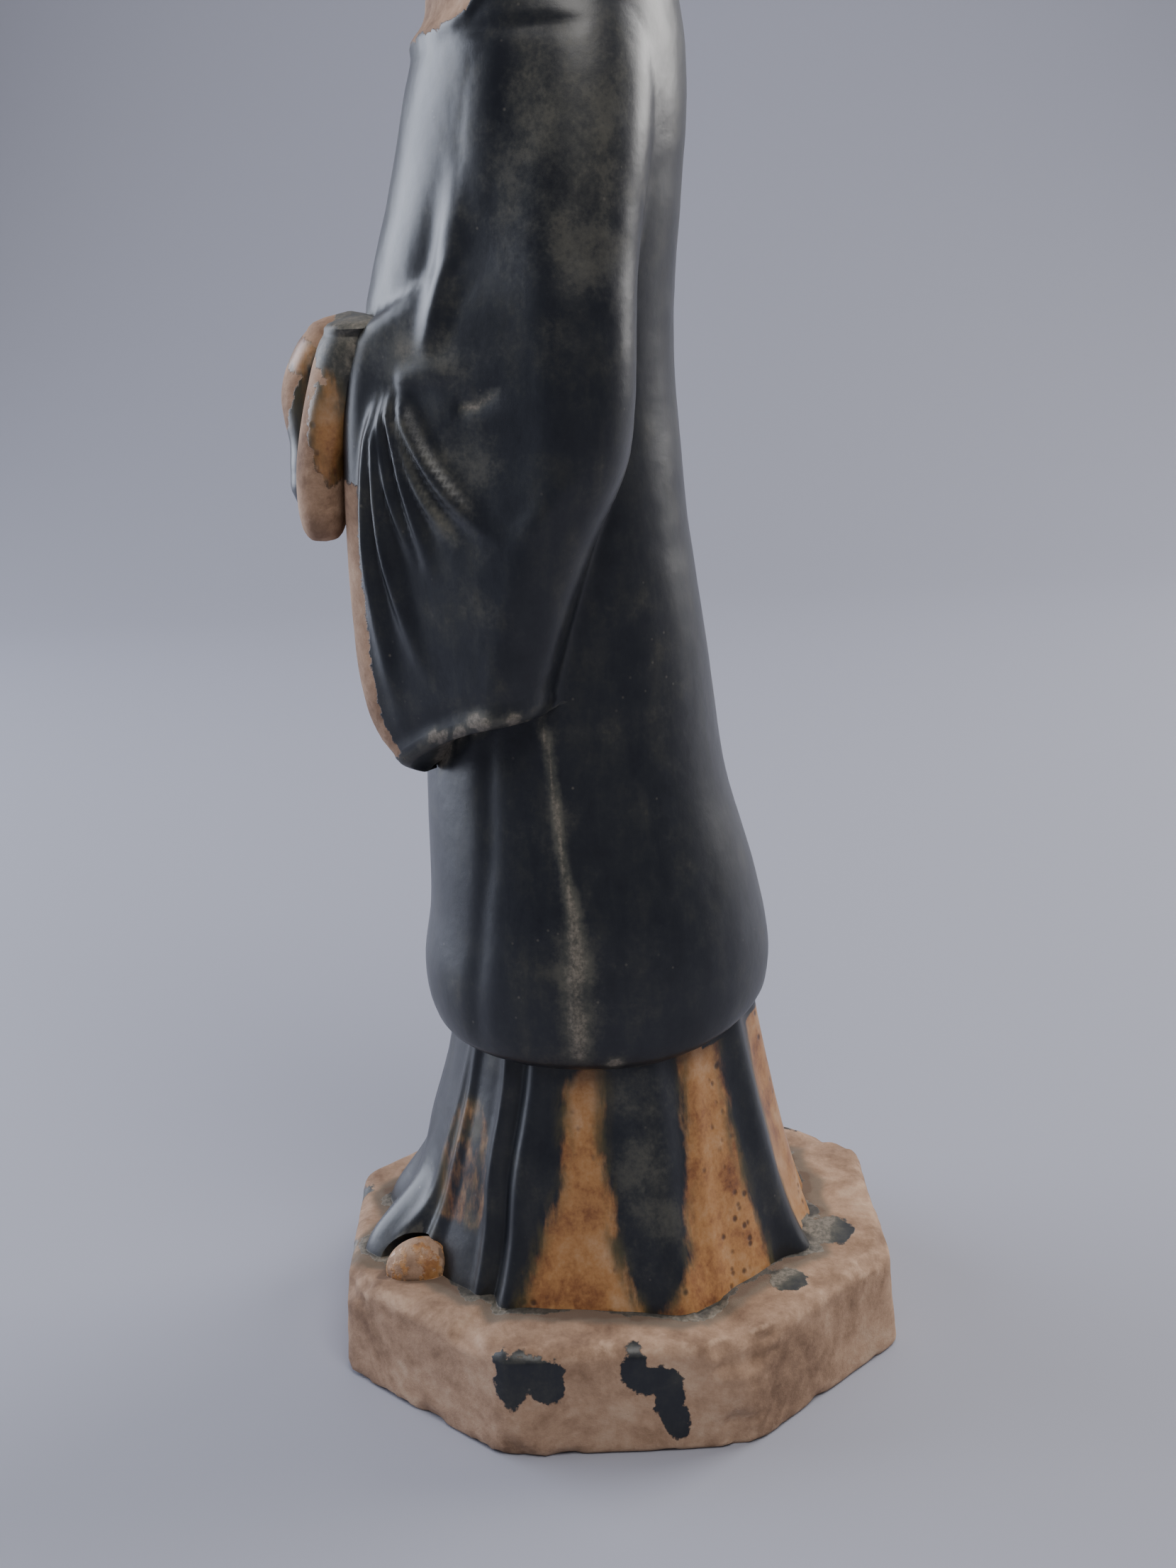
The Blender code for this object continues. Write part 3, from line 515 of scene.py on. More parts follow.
def bent_height(level, angle):
    """Height of a row at each angle: rows near a hem run along it."""
    beyond = np.maximum(np.degrees(np.abs(angle)) - SLEEVE_TIP_ANGLE, 0.0)
    hem = SLEEVE_TIP + SLEEVE_RISE * (1.0 - np.exp(-beyond / SLEEVE_RISE_ANGLE))
    rise = np.where(np.cos(angle) > 0.0, HEM_LIFT, BACK_HEM_LIFT)
    lift = rise * np.cos(angle) ** 2 * bump(level - ROBE_HEM, LIFT_SPREAD)
    return level + (hem - SLEEVE_LEVEL) * bump(level - SLEEVE_LEVEL, HEM_BEND) + lift


def row_height(angle, level, inner, outer, plain):
    """Height of a row at each angle; hem rows lie at their plain height where one layer meets the other."""
    height = bent_height(plain, angle)
    if inner == outer:
        return height
    overhang = surface(outer, angle, height)[1] - surface(inner, angle, height)[1]
    return bent_height(plain + (level - plain) * fade(overhang, 0.0, HEM_CLEAR), angle)


def on_line(line, height):
    """Angle or place of a line at any height; its points run from the top down, height last."""
    points = np.array(line, dtype=float)[::-1]
    return np.interp(height, points[:, 1], points[:, 0])


def uneven(x, y, z, scale):
    """Smooth noise at arrays of places, between about -1 and 1."""
    places = np.stack(np.broadcast_arrays(x, y, z), axis=-1) * scale
    values = [noise.noise(Vector(place)) for place in places.reshape(-1, 3).tolist()]
    return np.array(values).reshape(places.shape[:-1])


def hand_finish(x, y, z):
    """Slow unevenness of hand-finished clay."""
    return 0.20 * uneven(x, y, z, 0.075) + 0.045 * uneven(x, y, z, 0.31)


def gown_detail(angle, height):
    """Mould seam and faint flute down each side of the gown."""
    side = np.degrees(np.abs(angle))
    seam = 0.34 * bump((side - on_line(SEAM, height)) * GOWN_ARC, 0.62)
    flute = -0.30 * bump((side - on_line(FLUTE, height)) * GOWN_ARC, 1.7)
    return (seam + flute) * fade(height, ROBE_HEM, ROBE_HEM + 6.0)


def sleeve_detail(level, angle, height, centre):
    """Rolled hem of the sleeve with the crease above it."""
    on_arm = fade(arm_radius(angle, height, centre) - section("robe", angle, height)[1], 0.2, 1.6)
    roll = 0.12 * bump(level - SLEEVE_LEVEL - 1.3, 1.1)
    crease = -0.30 * bump(level - SLEEVE_LEVEL - 3.4, 0.9)
    return (roll + crease) * on_arm


def head_detail(angle, level):
    """Hair over the nape and temples, in shallow combed strands."""
    side = np.degrees(np.abs(angle))
    line = 21.5 - 13.5 * fade(side, 62.0, 125.0)
    hair = fade(level - line, -0.5, 0.5) * fade(side, 58.0, 66.0)
    strands = 0.10 * np.sin(side * 1.15 + 0.35 * np.sin(level * 0.6))
    return hair * (0.42 + strands)


def face_detail(x, level):
    """Brows, eyelids, nostrils and lips of the face, finer than the solid's."""
    side = np.abs(x)
    off = side - 4.6
    brow = 0.55 * bump(level - 23.1 + 0.055 * (side - 4.0) ** 2, 0.60)
    brow = brow * fade(side, 0.9, 2.2) * fade(-side, -8.8, -6.5)
    upper_lid = 0.25 * bump(level - 19.9 + 0.09 * off ** 2, 0.50)
    upper_lid = upper_lid - 0.45 * bump(level - 20.8 + 0.10 * off ** 2, 0.38)
    slit = -0.62 * bump(level - 19.1 + 0.03 * off ** 2, 0.42)
    lower_lid = 0.20 * bump(level - 18.3 - 0.03 * off ** 2, 0.45)
    lower_lid = lower_lid - 0.15 * bump(level - 17.4 - 0.07 * off ** 2, 0.45)
    eye = (upper_lid + slit + lower_lid) * fade(-np.abs(off), -3.1, -2.0)
    bridge = 0.60 * bump(side, 1.0) * bump(level - 17.6, 3.0)
    wing = 0.40 * bump(side - 1.9, 0.75) * bump(level - 13.3, 0.85)
    nostril = -0.40 * bump(side - 3.1, 0.50) * bump(level - 13.5, 1.1)
    under_nose = -0.40 * bump(side - 1.0, 0.55) * bump(level - 12.2, 0.40)
    philtrum = -0.25 * bump(side, 0.50) * bump(level - 10.9, 0.8)
    mouth = -0.50 * bump(level - 8.55 - 0.05 * side ** 2, 0.34) * fade(-side, -3.6, -2.4)
    return brow + eye + bridge + wing + nostril + under_nose + philtrum + mouth


def fine_ledge(level, inner, outer, undercut):
    """Rows that turn out under a hem and round its lip, each with its plain height last."""
    rows = [(level + undercut * (1.0 - i / 4.0) ** 1.4, inner, outer, 0.88 * i / 4.0) for i in range(5)]
    for i in range(1, 6):
        turn = i / 5.0 * math.pi / 2.0
        rows.append((level + HEM_ROUND * (1.0 - math.cos(turn)), inner, outer, 0.88 + 0.12 * math.sin(turn)))
    return [(*row, level + HEM_ROUND * i / 9.0) for i, row in enumerate(rows)]


def body_rows():
    foot = -FIGURE_SUNK / UNIT
    rows = [(foot, "skirt", "skirt", 1.0, foot)]
    rows += plain_rows(foot, ROBE_HEM - 0.2, ROW_STEPS["skirt"], "skirt")
    rows += fine_ledge(ROBE_HEM, "skirt", "gown", 0.9)
    rows += plain_rows(ROBE_HEM + HEM_ROUND, SLEEVE_LEVEL - 0.2, ROW_STEPS["gown"], "gown")
    rows += fine_ledge(SLEEVE_LEVEL, "gown", "robe", 1.2)
    rows += plain_rows(SLEEVE_LEVEL + HEM_ROUND, YOKE, ROW_STEPS["robe"], "robe")
    rows += plain_rows(YOKE, CHIN, ROW_STEPS["yoke"], "robe")
    rows += plain_rows(CHIN, CAP_EDGE - 0.2, ROW_STEPS["head"], "head")
    rows += fine_ledge(CAP_EDGE, "head", "cap", 0.3)
    rows += plain_rows(CAP_EDGE + HEM_ROUND, CROWN, ROW_STEPS["cap"], "cap")
    return rows + [(CROWN, "cap", "cap", 1.0, CROWN)]


def carved(layer, level, angle, height):
    """Surface of a layer with the finer carving that the solid leaves out."""
    centre, radius = surface(layer, angle, height)
    if layer == "gown":
        radius = radius + gown_detail(angle, height)
    if layer == "robe":
        radius = radius + sleeve_detail(level, angle, height, centre)
    if layer == "head":
        radius = radius + head_detail(angle, height - CHIN)
        in_front = fade(np.cos(angle), 0.1, 0.5)
        radius = radius + face_detail(radius * np.sin(angle), height - CHIN) * in_front
    if layer == "cap":
        above = height - CAP_EDGE
        radius = radius + 0.25 * bump(above - 1.6, 1.1) - 0.2 * bump(above - 4.0, 0.6)
    x = radius * np.sin(angle)
    y = centre - radius * np.cos(angle)
    return centre, radius + hand_finish(x, y, height) * min(1.0, (CROWN - level) / 8.0) - 0.05


def add_mesh(name, places, faces, region):
    """A closed mesh with outward faces, each marked with its region as a material number."""
    mesh = bmesh.new()
    corners = [mesh.verts.new(place) for place in places]
    for face in faces:
        mesh.faces.new([corners[i] for i in face])
    bmesh.ops.recalc_face_normals(mesh, faces=mesh.faces[:])
    for face in mesh.faces:
        face.material_index = region
    data = bpy.data.meshes.new(name)
    for _ in REGIONS:
        data.materials.append(None)
    mesh.to_mesh(data)
    mesh.free()
    thing = bpy.data.objects.new(name, data)
    bpy.context.scene.collection.objects.link(thing)
    return thing


def stack(name, rings, region):
    """Close a stack of rings, each an array of points and the lowest first, into one body."""
    count = len(rings[0])
    faces = []
    for row in range(len(rings) - 1):
        low = row * count
        high = low + count
        faces += [(low + i, low + (i + 1) % count, high + (i + 1) % count, high + i) for i in range(count)]
    places = np.concatenate(rings)
    last = len(places) - count
    faces.append(list(range(count - 1, -1, -1)))
    faces.append(list(range(last, last + count)))
    return add_mesh(name, places.tolist(), faces, region)


def to_world(x, y, height):
    x, y, height = np.broadcast_arrays(x, y, height)
    return np.stack([x * UNIT, y * UNIT, BASE_THICKNESS + height * UNIT], axis=-1)


def make_body():
    """Underskirt, gown, sleeves, head and cap as one stack of rings."""
    angle = column_angles()
    rings = []
    for level, inner, outer, share, plain in body_rows():
        height = row_height(angle, level, inner, outer, plain)
        centre, radius = carved(outer, level, angle, height)
        if inner != outer:
            inner_centre, inner_radius = carved(inner, level, angle, height)
            centre = inner_centre + (centre - inner_centre) * share
            radius = inner_radius + (radius - inner_radius) * share
        rings.append(to_world(radius * np.sin(angle), centre - radius * np.cos(angle), height))
    return stack("tomb_attendant_glazed", rings, REGIONS.index("body"))


def make_cuff(table, region):
    """One hand's hanging cuff, its squarish oval sections swept along the table."""
    angle = np.linspace(0.0, 2.0 * math.pi, BLOB_SIDES, endpoint=False)
    across = np.sign(np.cos(angle)) * np.abs(np.cos(angle)) ** (2.0 / CUFF_POWER)
    deep_in = np.sign(np.sin(angle)) * np.abs(np.sin(angle)) ** (2.0 / CUFF_POWER)
    rows = np.array(table)[:, 0]
    rings = []
    for height in np.unique(np.concatenate([np.arange(rows[0] + 0.5, rows[-1] - 0.3, 0.5), rows])):
        centre_x, centre_y, wide, deep = along(table, np.array(height))
        x = centre_x + wide * across
        y = np.maximum(centre_y + deep * deep_in, -BASE_ACROSS / UNIT / 2.0 + 0.04)
        rings.append(to_world(x, y, height))
    return stack(region, rings, REGIONS.index(region))


def make_ellipsoid(place, size, side, region, turn=0.0):
    """A rounded lump of drawn place and half-sizes, turned about the upright axis and mirrored by side."""
    sides = np.linspace(0.0, 2.0 * math.pi, BLOB_SIDES // 2 * 2, endpoint=False)
    rings = []
    for step in range(1, BLOB_SIDES // 2):
        tilt = step / (BLOB_SIDES // 2) * math.pi
        x = size[0] * math.sin(tilt) * np.cos(sides)
        y = size[1] * math.sin(tilt) * np.sin(sides)
        turned_x = x * math.cos(turn) - y * math.sin(turn)
        turned_y = x * math.sin(turn) + y * math.cos(turn)
        height = place[2] - size[2] * math.cos(tilt)
        rings.append(to_world(side * (place[0] + turned_x), place[1] + turned_y, height))
    return stack(region, rings, REGIONS.index(region))


def all_chips():
    """The larger chips, and small nicks scattered along the top and foot edges."""
    chance = np.random.RandomState(11)
    chips = list(CHIPS)
    for step in range(SMALL_CHIPS):
        level = 0.1 if step % 3 else BASE_THICKNESS / UNIT - 0.2
        wide = 0.5 + 1.9 * chance.random_sample() ** 2
        at = 360.0 * chance.random_sample()
        tall = 0.4 + 0.7 * wide * chance.random_sample()
        chips.append((at, level, wide, tall, 0.12 + 0.2 * wide))
    return chips


def chip_depth(turn, height):
    """How deep the chips bite into the base's edge."""
    depth = np.zeros(np.shape(turn))
    for at, level, wide, tall, deep in all_chips():
        gap = (turn - math.radians(at) + math.pi) % (2.0 * math.pi) - math.pi
        ragged = 1.0 + 0.20 * np.sin(turn * 61.0 + at) + 0.14 * np.sin(height * 2.3 + at)
        spread = np.hypot(gap * 40.0 / wide, (height - level) / tall) * ragged
        depth = np.maximum(depth, deep * (1.0 - fade(spread, 0.45, 1.0)))
    return depth


def make_base():
    """Octagonal base with leaning, uneven sides, worn edges and chips."""
    turn = np.linspace(0.0, 2.0 * math.pi, EDGE_COLUMNS, endpoint=False)
    reach = BASE_ACROSS / UNIT / 2.0
    thick = BASE_THICKNESS / UNIT
    batter = BASE_BATTER / UNIT
    flats = np.array([np.maximum(np.cos(turn - i * math.pi / 4.0), 0.0) for i in range(8)])
    outline = reach * np.sum(flats ** BASE_POWER, axis=0) ** (-1.0 / BASE_POWER)
    foot = BASE_FOOT_ROUND / UNIT
    top = BASE_TOP_ROUND / UNIT
    rows = [(share, 0.0, 0.0) for share in (0.35, 0.7, 0.9)]
    for step in range(5):
        angle = step / 4.0 * math.pi / 2.0
        rows.append((1.0, foot * (1.0 - math.sin(angle)), foot * (1.0 - math.cos(angle))))
    for step in range(1, 17):
        share = step / 17.0
        rows.append((1.0, share * batter, foot + share * (thick - top - foot)))
    for step in range(9):
        angle = step / 8.0 * math.pi / 2.0
        inset = batter + top * (1.0 - math.cos(angle))
        rows.append((1.0, inset, thick - top * (1.0 - math.sin(angle))))
    rows += [(share, batter + top, thick) for share in np.linspace(0.97, 0.55, 15)]
    rings = []
    for share, inset, height in rows:
        bite = chip_depth(turn, height)
        x = reach * np.cos(turn)
        y = reach * np.sin(turn)
        worn = 0.30 + 0.22 * uneven(x, y, height, 0.10) + 0.10 * uneven(x, y, height, 0.45)
        radius = (outline - inset - bite - worn) * share
        dip = 0.20 + 0.18 * uneven(x * share, y * share, height, 0.12)
        dip = dip * fade(height, 6.0, thick) * fade(share, 0.7, 1.0)
        sunk = 0.5 * bite * fade(height, thick - 4.0, thick) + dip
        level = np.maximum(height - sunk, 0.0) - thick
        rings.append(to_world(radius * np.cos(turn), radius * np.sin(turn), level))
    return stack("base", rings, REGIONS.index("base"))


def combine(target, other, operation):
    """Apply a Boolean to the target and remove the other object."""
    boolean = target.modifiers.new(operation, "BOOLEAN")
    boolean.operation = operation
    boolean.solver = "EXACT"
    boolean.material_mode = "INDEX"
    boolean.object = other
    graph = bpy.context.evaluated_depsgraph_get()
    result = bpy.data.meshes.new_from_object(target.evaluated_get(graph))
    target.modifiers.clear()
    target.data = result
    bpy.data.objects.remove(other, do_unlink=True)


def make_figure():
    """The whole piece: body, hands, ears, shoes and base in one closed mesh."""
    figure = make_body()
    ear_place = (EAR_PLACE[0], EAR_PLACE[1], CHIN + EAR_PLACE[2])
    added = make_base()
    for side, back in ((1.0, 0.0), (-1.0, RIGHT_SHOE_BACK)):
        arch_place = (ARCH_PLACE[0], ARCH_PLACE[1] + back, ARCH_PLACE[2])
        shoe_place = (SHOE_PLACE[0], SHOE_PLACE[1] + back, SHOE_PLACE[2])
        combine(figure, make_ellipsoid(arch_place, ARCH_SIZE, side, "body", SHOE_TURN), "DIFFERENCE")
        combine(added, make_ellipsoid(shoe_place, SHOE_SIZE, side, "shoe", SHOE_TURN), "UNION")
    combine(added, make_ellipsoid(ear_place, EAR_SIZE, 1.0, "ear"), "UNION")
    combine(added, make_ellipsoid(ear_place, EAR_SIZE, -1.0, "ear"), "UNION")
    combine(added, make_cuff(LEFT_CUFF, "left_cuff"), "UNION")
    combine(added, make_cuff(RIGHT_CUFF, "right_cuff"), "UNION")
    combine(figure, added, "UNION")
    return figure


def path_gap(a, b, path):
    """Distance of points (a, b) from a path of straight steps."""
    nearest = np.full(np.shape(a), 1.0e3)
    for start, end in zip(path, path[1:]):
        run = np.subtract(end, start)
        share = np.clip(((a - start[0]) * run[0] + (b - start[1]) * run[1]) / (run @ run), 0.0, 1.0)
        nearest = np.minimum(nearest, np.hypot(a - start[0] - share * run[0], b - start[1] - share * run[1]))
    return nearest


def blob_depth(a, b, blobs):
    """How deep points lie inside the nearest of a set of oval blobs."""
    depth = np.full(np.shape(a), -6.0)
    for at_a, at_b, half_a, half_b in blobs:
        oval = 1.0 - np.hypot((a - at_a) / half_a, (b - at_b) / half_b)
        depth = np.maximum(depth, oval * min(half_a, half_b))
    return depth


def polar(x, y, height):
    """Angle in degrees from the front, and units of arc for each degree."""
    layer = np.where(height < ROBE_HEM, along(SKIRT, height)[..., 0], along(ROBE, height)[..., 0])
    return np.degrees(np.arctan2(x, layer - y)), np.hypot(x, y - layer) * math.pi / 180.0


def worn_glaze(x, y, height, angle, arc):
    """How thin the glaze is over robe and skirt, and bare where it passes one."""
    side = np.abs(angle)
    turn = np.radians(angle)
    on_robe = height > 84.0
    seam_width = 0.75 + 1.55 * fade(-height, -58.0, -46.0)
    seam = 1.15 * bump((side - on_line(SEAM, height)) * arc, seam_width)
    seam = seam * fade(height, 32.5, 34.5) * (height < 80.0)
    shoulder = bump(np.hypot((y + 1.0) / 9.0, (height - 147.0) / 15.0), 1.0)
    elbow = 0.8 * bump(np.hypot((y + 15.0) / 5.0, (height - 112.0) / 6.0), 1.0)
    clouds = 0.62 * np.maximum(shoulder, elbow) * on_robe
    fold = 0.75 * bump(path_gap(y, height, PALE_FOLD), 1.0)
    crease = 1.30 * bump(path_gap(y, height, PALE_CREASE), 0.7)
    knot = 0.80 * bump(np.hypot((y + 21.0) / 7.0, (height - 124.0) / 4.0), 1.0)
    knot = knot * fade(height, 118.0, 121.5) * on_robe
    centre = along(ROBE, height)[..., 0]
    on_arm = fade(arm_radius(turn, height, centre) - section("robe", turn, height)[1], 0.4, 1.4)
    above = height - bent_height(SLEEVE_LEVEL, turn)
    hem = 0.55 * bump(above - 0.8, 0.9) * on_arm
    on_left = on_arm * (x > 0.0)
    flakes = [2.4 * bump(np.hypot(y - at_y, above - rise), 0.9) * on_left for at_y, rise in FLAKES]
    chip = 2.2 * bump(np.hypot((angle - 93.0) * arc, 1.5 * (height - ROBE_HEM - 1.6)), 1.3)
    rear = 0.45 * bump(side - 100.0, 9.0) * fade(height, 3.0, 12.0) * (height < ROBE_HEM)
    return np.maximum.reduce([seam, clouds, fold, crease, knot, hem, *flakes, chip, rear])


def paint_body(x, y, height):
    """Depth inside the glaze and inside the amber, and how thin the glaze is, over robe, skirt and head."""
    angle, arc = polar(x, y, height)
    side = np.abs(angle)
    head = np.maximum(collar_line(side) - height, height - CAP_EDGE + 0.6)
    arms = along(ARM, height)
    turn = np.degrees(np.arctan2(np.abs(x) - arms[..., 3], arms[..., 4] - y))
    strip = (np.abs(turn - STRIP_MIDDLE) - STRIP_HALF) * arms[..., 5] * math.pi / 180.0
    strip = np.maximum(strip, np.maximum(STRIP_LOW - height, height - STRIP_HIGH) * 0.7)
    strip = np.where((height > ROBE_HEM + 8.0) & (side < 60.0), strip, 6.0)
    glaze = np.minimum(head, strip)
    amber = np.full(np.shape(x), -6.0)
    shifted = np.where(angle < 0.0, side - 4.0 - 3.0 * np.sin(height * 0.21), side)
    for left, right in AMBER:
        inside = np.minimum(shifted - on_line(left, height), on_line(right, height) - shifted) * arc
        ends = np.minimum(height - left[-1][1], left[0][1] + 0.8 - height)
        inside = np.minimum(inside, ends)
        amber = np.maximum(amber, np.where(shifted < 60.0, np.minimum(inside - 1.4, -0.5), inside))
    amber = np.where(height < ROBE_HEM + 0.4, amber, -6.0)
    return glaze, amber, worn_glaze(x, y, height, angle, arc)


def paint_base(x, y, height):
    """Glaze on the base: a fringe round the skirt's foot, drops on top and runs down the sides."""
    angle = polar(x, y, np.zeros(np.shape(x)))[0]
    centre, foot = surface("skirt", np.radians(angle), np.zeros(np.shape(x)))
    beyond = np.hypot(x, y - centre) - foot
    fringe = 0.9 + 0.75 * np.sin(np.radians(angle) * 7.0 + 0.8) + 0.45 * np.sin(np.radians(angle) * 17.0)
    glaze = np.where(height > -1.5, np.maximum(fringe - beyond, -6.0), -6.0)
    glaze = np.maximum(glaze, np.where(height > -1.5, blob_depth(x, y, DROPS), -6.0))
    for side, blobs in RUNS:
        turn = side * math.pi / 4.0
        facing = x * math.cos(turn) + y * math.sin(turn)
        across = y * math.cos(turn) - x * math.sin(turn)
        run = blob_depth(across, height + BASE_THICKNESS / UNIT, blobs)
        glaze = np.maximum(glaze, np.where(facing > 35.6, run, -6.0))
    stain = np.where(height > -1.5, 1.0 - fade(beyond, 0.0, 5.5), 0.0)
    return glaze, np.full(np.shape(x), -6.0), np.where(height > -1.5, 0.45, 0.0) + 2.8 * stain


def paint_cuffs(x, y, height, left):
    """Glaze on the hands: grey on top, a ragged dark edge behind, an ochre patch and bare clay in front."""
    dark = np.minimum(y - on_line(LEFT_EDGE, height), height - 107.6)
    patch = blob_depth(y, height, ((-31.6, 114.6, 2.5, 6.4), (-30.8, 119.0, 1.6, 2.6)))
    far_dark = np.minimum(y - on_line(RIGHT_EDGE, height), height - 112.0)
    band = 1.25 - path_gap(y, height, DARK_BAND) - np.maximum(np.abs(x + 1.6) - 2.6, 0.0)
    far_patch = blob_depth(y, height, ((-34.4, 113.6, 2.4, 5.6), (-35.4, 123.4, 2.4, 2.4)))
    glaze = np.where(left, np.maximum(dark, patch), np.maximum(np.maximum(far_dark, band), far_patch))
    amber = np.where(left, patch - 0.4 * np.maximum(dark, 0.0), np.minimum(far_patch, -band))
    thin = np.where(height > 120.5, 0.9, 0.25)
    thin = np.where(~left & (band > 0.0), 0.1, thin)
    return glaze, amber, thin


def ridge_field(mesh, places, normals):
    """How sharply the surface bulges at each vertex, in one over drawn millimetres, a little blurred."""
    count = len(places)
    ends = np.empty(len(mesh.edges) * 2, dtype=np.int32)
    mesh.edges.foreach_get("vertices", ends)
    first, second = ends[0::2], ends[1::2]
    links = np.bincount(first, minlength=count) + np.bincount(second, minlength=count)
    step = places[second] - places[first]
    length = np.maximum(np.sum(step ** 2, axis=1), 1.0e-4)
    turn_first = -np.sum(step * normals[first], axis=1) / length
    turn_second = np.sum(step * normals[second], axis=1) / length
    bulge = np.bincount(first, turn_first, count) + np.bincount(second, turn_second, count)
    bulge = bulge / links * 2.0
    for _ in range(5):
        total = np.bincount(first, bulge[second], count) + np.bincount(second, bulge[first], count)
        bulge = 0.5 * bulge + 0.5 * total / links
    return bulge


def vertex_regions(mesh, count):
    """Number of the region that each vertex belongs to."""
    numbers = np.empty(len(mesh.polygons), dtype=np.int32)
    mesh.polygons.foreach_get("material_index", numbers)
    sizes = np.empty(len(mesh.polygons), dtype=np.int32)
    mesh.polygons.foreach_get("loop_total", sizes)
    corners = np.empty(len(mesh.loops), dtype=np.int32)
    mesh.loops.foreach_get("vertex_index", corners)
    region = np.zeros(count, dtype=np.int32)
    np.maximum.at(region, corners, np.repeat(numbers, sizes))
    return region


def paint(figure):
    """Store where glaze, amber, thin glaze and ridges lie as fields for the material to sharpen."""
    mesh = figure.data
    count = len(mesh.vertices)
    flat = np.empty(count * 3, dtype=np.float32)
    mesh.vertices.foreach_get("co", flat)
    places = flat.reshape(-1, 3).astype(float) / UNIT
    mesh.vertices.foreach_get("normal", flat)
    normals = flat.reshape(-1, 3).astype(float)
    region = vertex_regions(mesh, count)
    x, y = places[:, 0], places[:, 1]
    height = places[:, 2] - BASE_THICKNESS / UNIT
    glaze, amber, thin = paint_body(x, y, height)
    on_base = region == REGIONS.index("base")
    left = region == REGIONS.index("left_cuff")
    cuffs = left | (region == REGIONS.index("right_cuff"))
    shoes = region == REGIONS.index("shoe")
    ears = region == REGIONS.index("ear")
    for there, painted in ((on_base, paint_base(x, y, height)), (cuffs, paint_cuffs(x, y, height, left))):
        glaze = np.where(there, painted[0], glaze)
        amber = np.where(there, painted[1], amber)
        thin = np.where(there, painted[2], thin)
    glaze = np.where(shoes, -0.05, np.where(ears, -6.0, glaze))
    amber = np.where(shoes, 2.0, amber)
    ridge = ridge_field(mesh, places, normals)
    fields = {"glaze_depth": glaze, "amber_depth": amber, "thinness": thin, "ridge": ridge}
    for name, values in fields.items():
        field = mesh.attributes.new(name, "FLOAT", "POINT")
        field.data.foreach_set("value", np.clip(values, -6.0, 6.0).astype(np.float32))
    mesh.polygons.foreach_set("material_index", np.zeros(len(mesh.polygons), dtype=np.int32))
    mesh.materials.clear()
    mesh.materials.append(ceramic())


class Graph:
    """Short ways to build a material's node graph."""

    def __init__(self, name):
        self.material = bpy.data.materials.new(name)
        self.material.use_nodes = True
        self.tree = self.material.node_tree
        self.shader = self.tree.nodes["Principled BSDF"]

    def node(self, kind, **settings):
        made = self.tree.nodes.new(kind)
        for key, value in settings.items():
            setattr(made, key, value)
        return made

    def shade(self, **values):
        """Give the shader's sockets, named with underscores for spaces, their values."""
        for name, value in values.items():
            self.feed(self.shader.inputs[name.replace("_", " ")], value)

    def feed(self, socket, value):
        if isinstance(value, bpy.types.NodeSocket):
            self.tree.links.new(value, socket)
        elif value is not None:
            socket.default_value = value

    def math(self, operation, first, second=None):
        made = self.node("ShaderNodeMath", operation=operation)
        self.feed(made.inputs[0], first)
        self.feed(made.inputs[1], second)
        return made.outputs[0]

    def plus(self, first, second):
        return self.math("ADD", first, second)

    def times(self, first, second):
        return self.math("MULTIPLY", first, second)

    def attribute(self, name):
        return self.node("ShaderNodeAttribute", attribute_name=name).outputs["Fac"]

    def place(self, stretch=(1000.0, 1000.0, 1000.0)):
        """Position on the object in millimetres, stretched."""
        source = self.node("ShaderNodeTexCoord").outputs["Object"]
        scaled = self.node("ShaderNodeVectorMath", operation="MULTIPLY")
        self.feed(scaled.inputs[0], source)
        self.feed(scaled.inputs[1], stretch)
        return scaled.outputs[0]

    def noise(self, place, scale, detail=3.0, roughness=0.55, distortion=0.0):
        made = self.node("ShaderNodeTexNoise")
        self.feed(made.inputs["Vector"], place)
        self.feed(made.inputs["Scale"], scale)
        self.feed(made.inputs["Detail"], detail)
        self.feed(made.inputs["Roughness"], roughness)
        self.feed(made.inputs["Distortion"], distortion)
        return made.outputs["Fac"]

    def spots(self, place, scale, low, high):
        """Small round spots, 1 in their middle."""
        made = self.node("ShaderNodeTexVoronoi", feature="F1")
        self.feed(made.inputs["Vector"], place)
        self.feed(made.inputs["Scale"], scale)
        return self.between(made.outputs["Distance"], high, low)

    def between(self, value, start, end):
        """0 at start and 1 at end, smooth between them."""
        made = self.node("ShaderNodeMapRange", interpolation_type="SMOOTHSTEP")
        self.feed(made.inputs["Value"], value)
        self.feed(made.inputs["From Min"], start)
        self.feed(made.inputs["From Max"], end)
        return made.outputs[0]

    def ramp(self, value, *stops):
        made = self.node("ShaderNodeValToRGB")
        elements = made.color_ramp.elements
        for at, colour in stops[2:]:
            elements.new(at)
        for element, (at, colour) in zip(elements, sorted(stops, key=lambda stop: stop[0])):
            element.position = at
            element.color = (*colour, 1.0)
        self.feed(made.inputs["Fac"], value)
        return made.outputs["Color"]

    def mix(self, share, first, second):
        made = self.node("ShaderNodeMix", data_type="RGBA")
        self.feed(made.inputs[0], share)
        self.feed(made.inputs[6], first)
        self.feed(made.inputs[7], second)
        return made.outputs[2]

    def blend(self, share, first, second):
        made = self.node("ShaderNodeMix", data_type="FLOAT")
        self.feed(made.inputs[0], share)
        self.feed(made.inputs[2], first)
        self.feed(made.inputs[3], second)
        return made.outputs[0]


def ragged(graph, place, field, reach, width):
    """1 inside the edge of a field and 0 outside, the edge broken by noise."""
    coarse = graph.plus(graph.noise(place, 0.55, 5.0, 0.62), -0.5)
    offset = graph.times(coarse, reach)
    return graph.between(graph.plus(field, offset), -width, width)


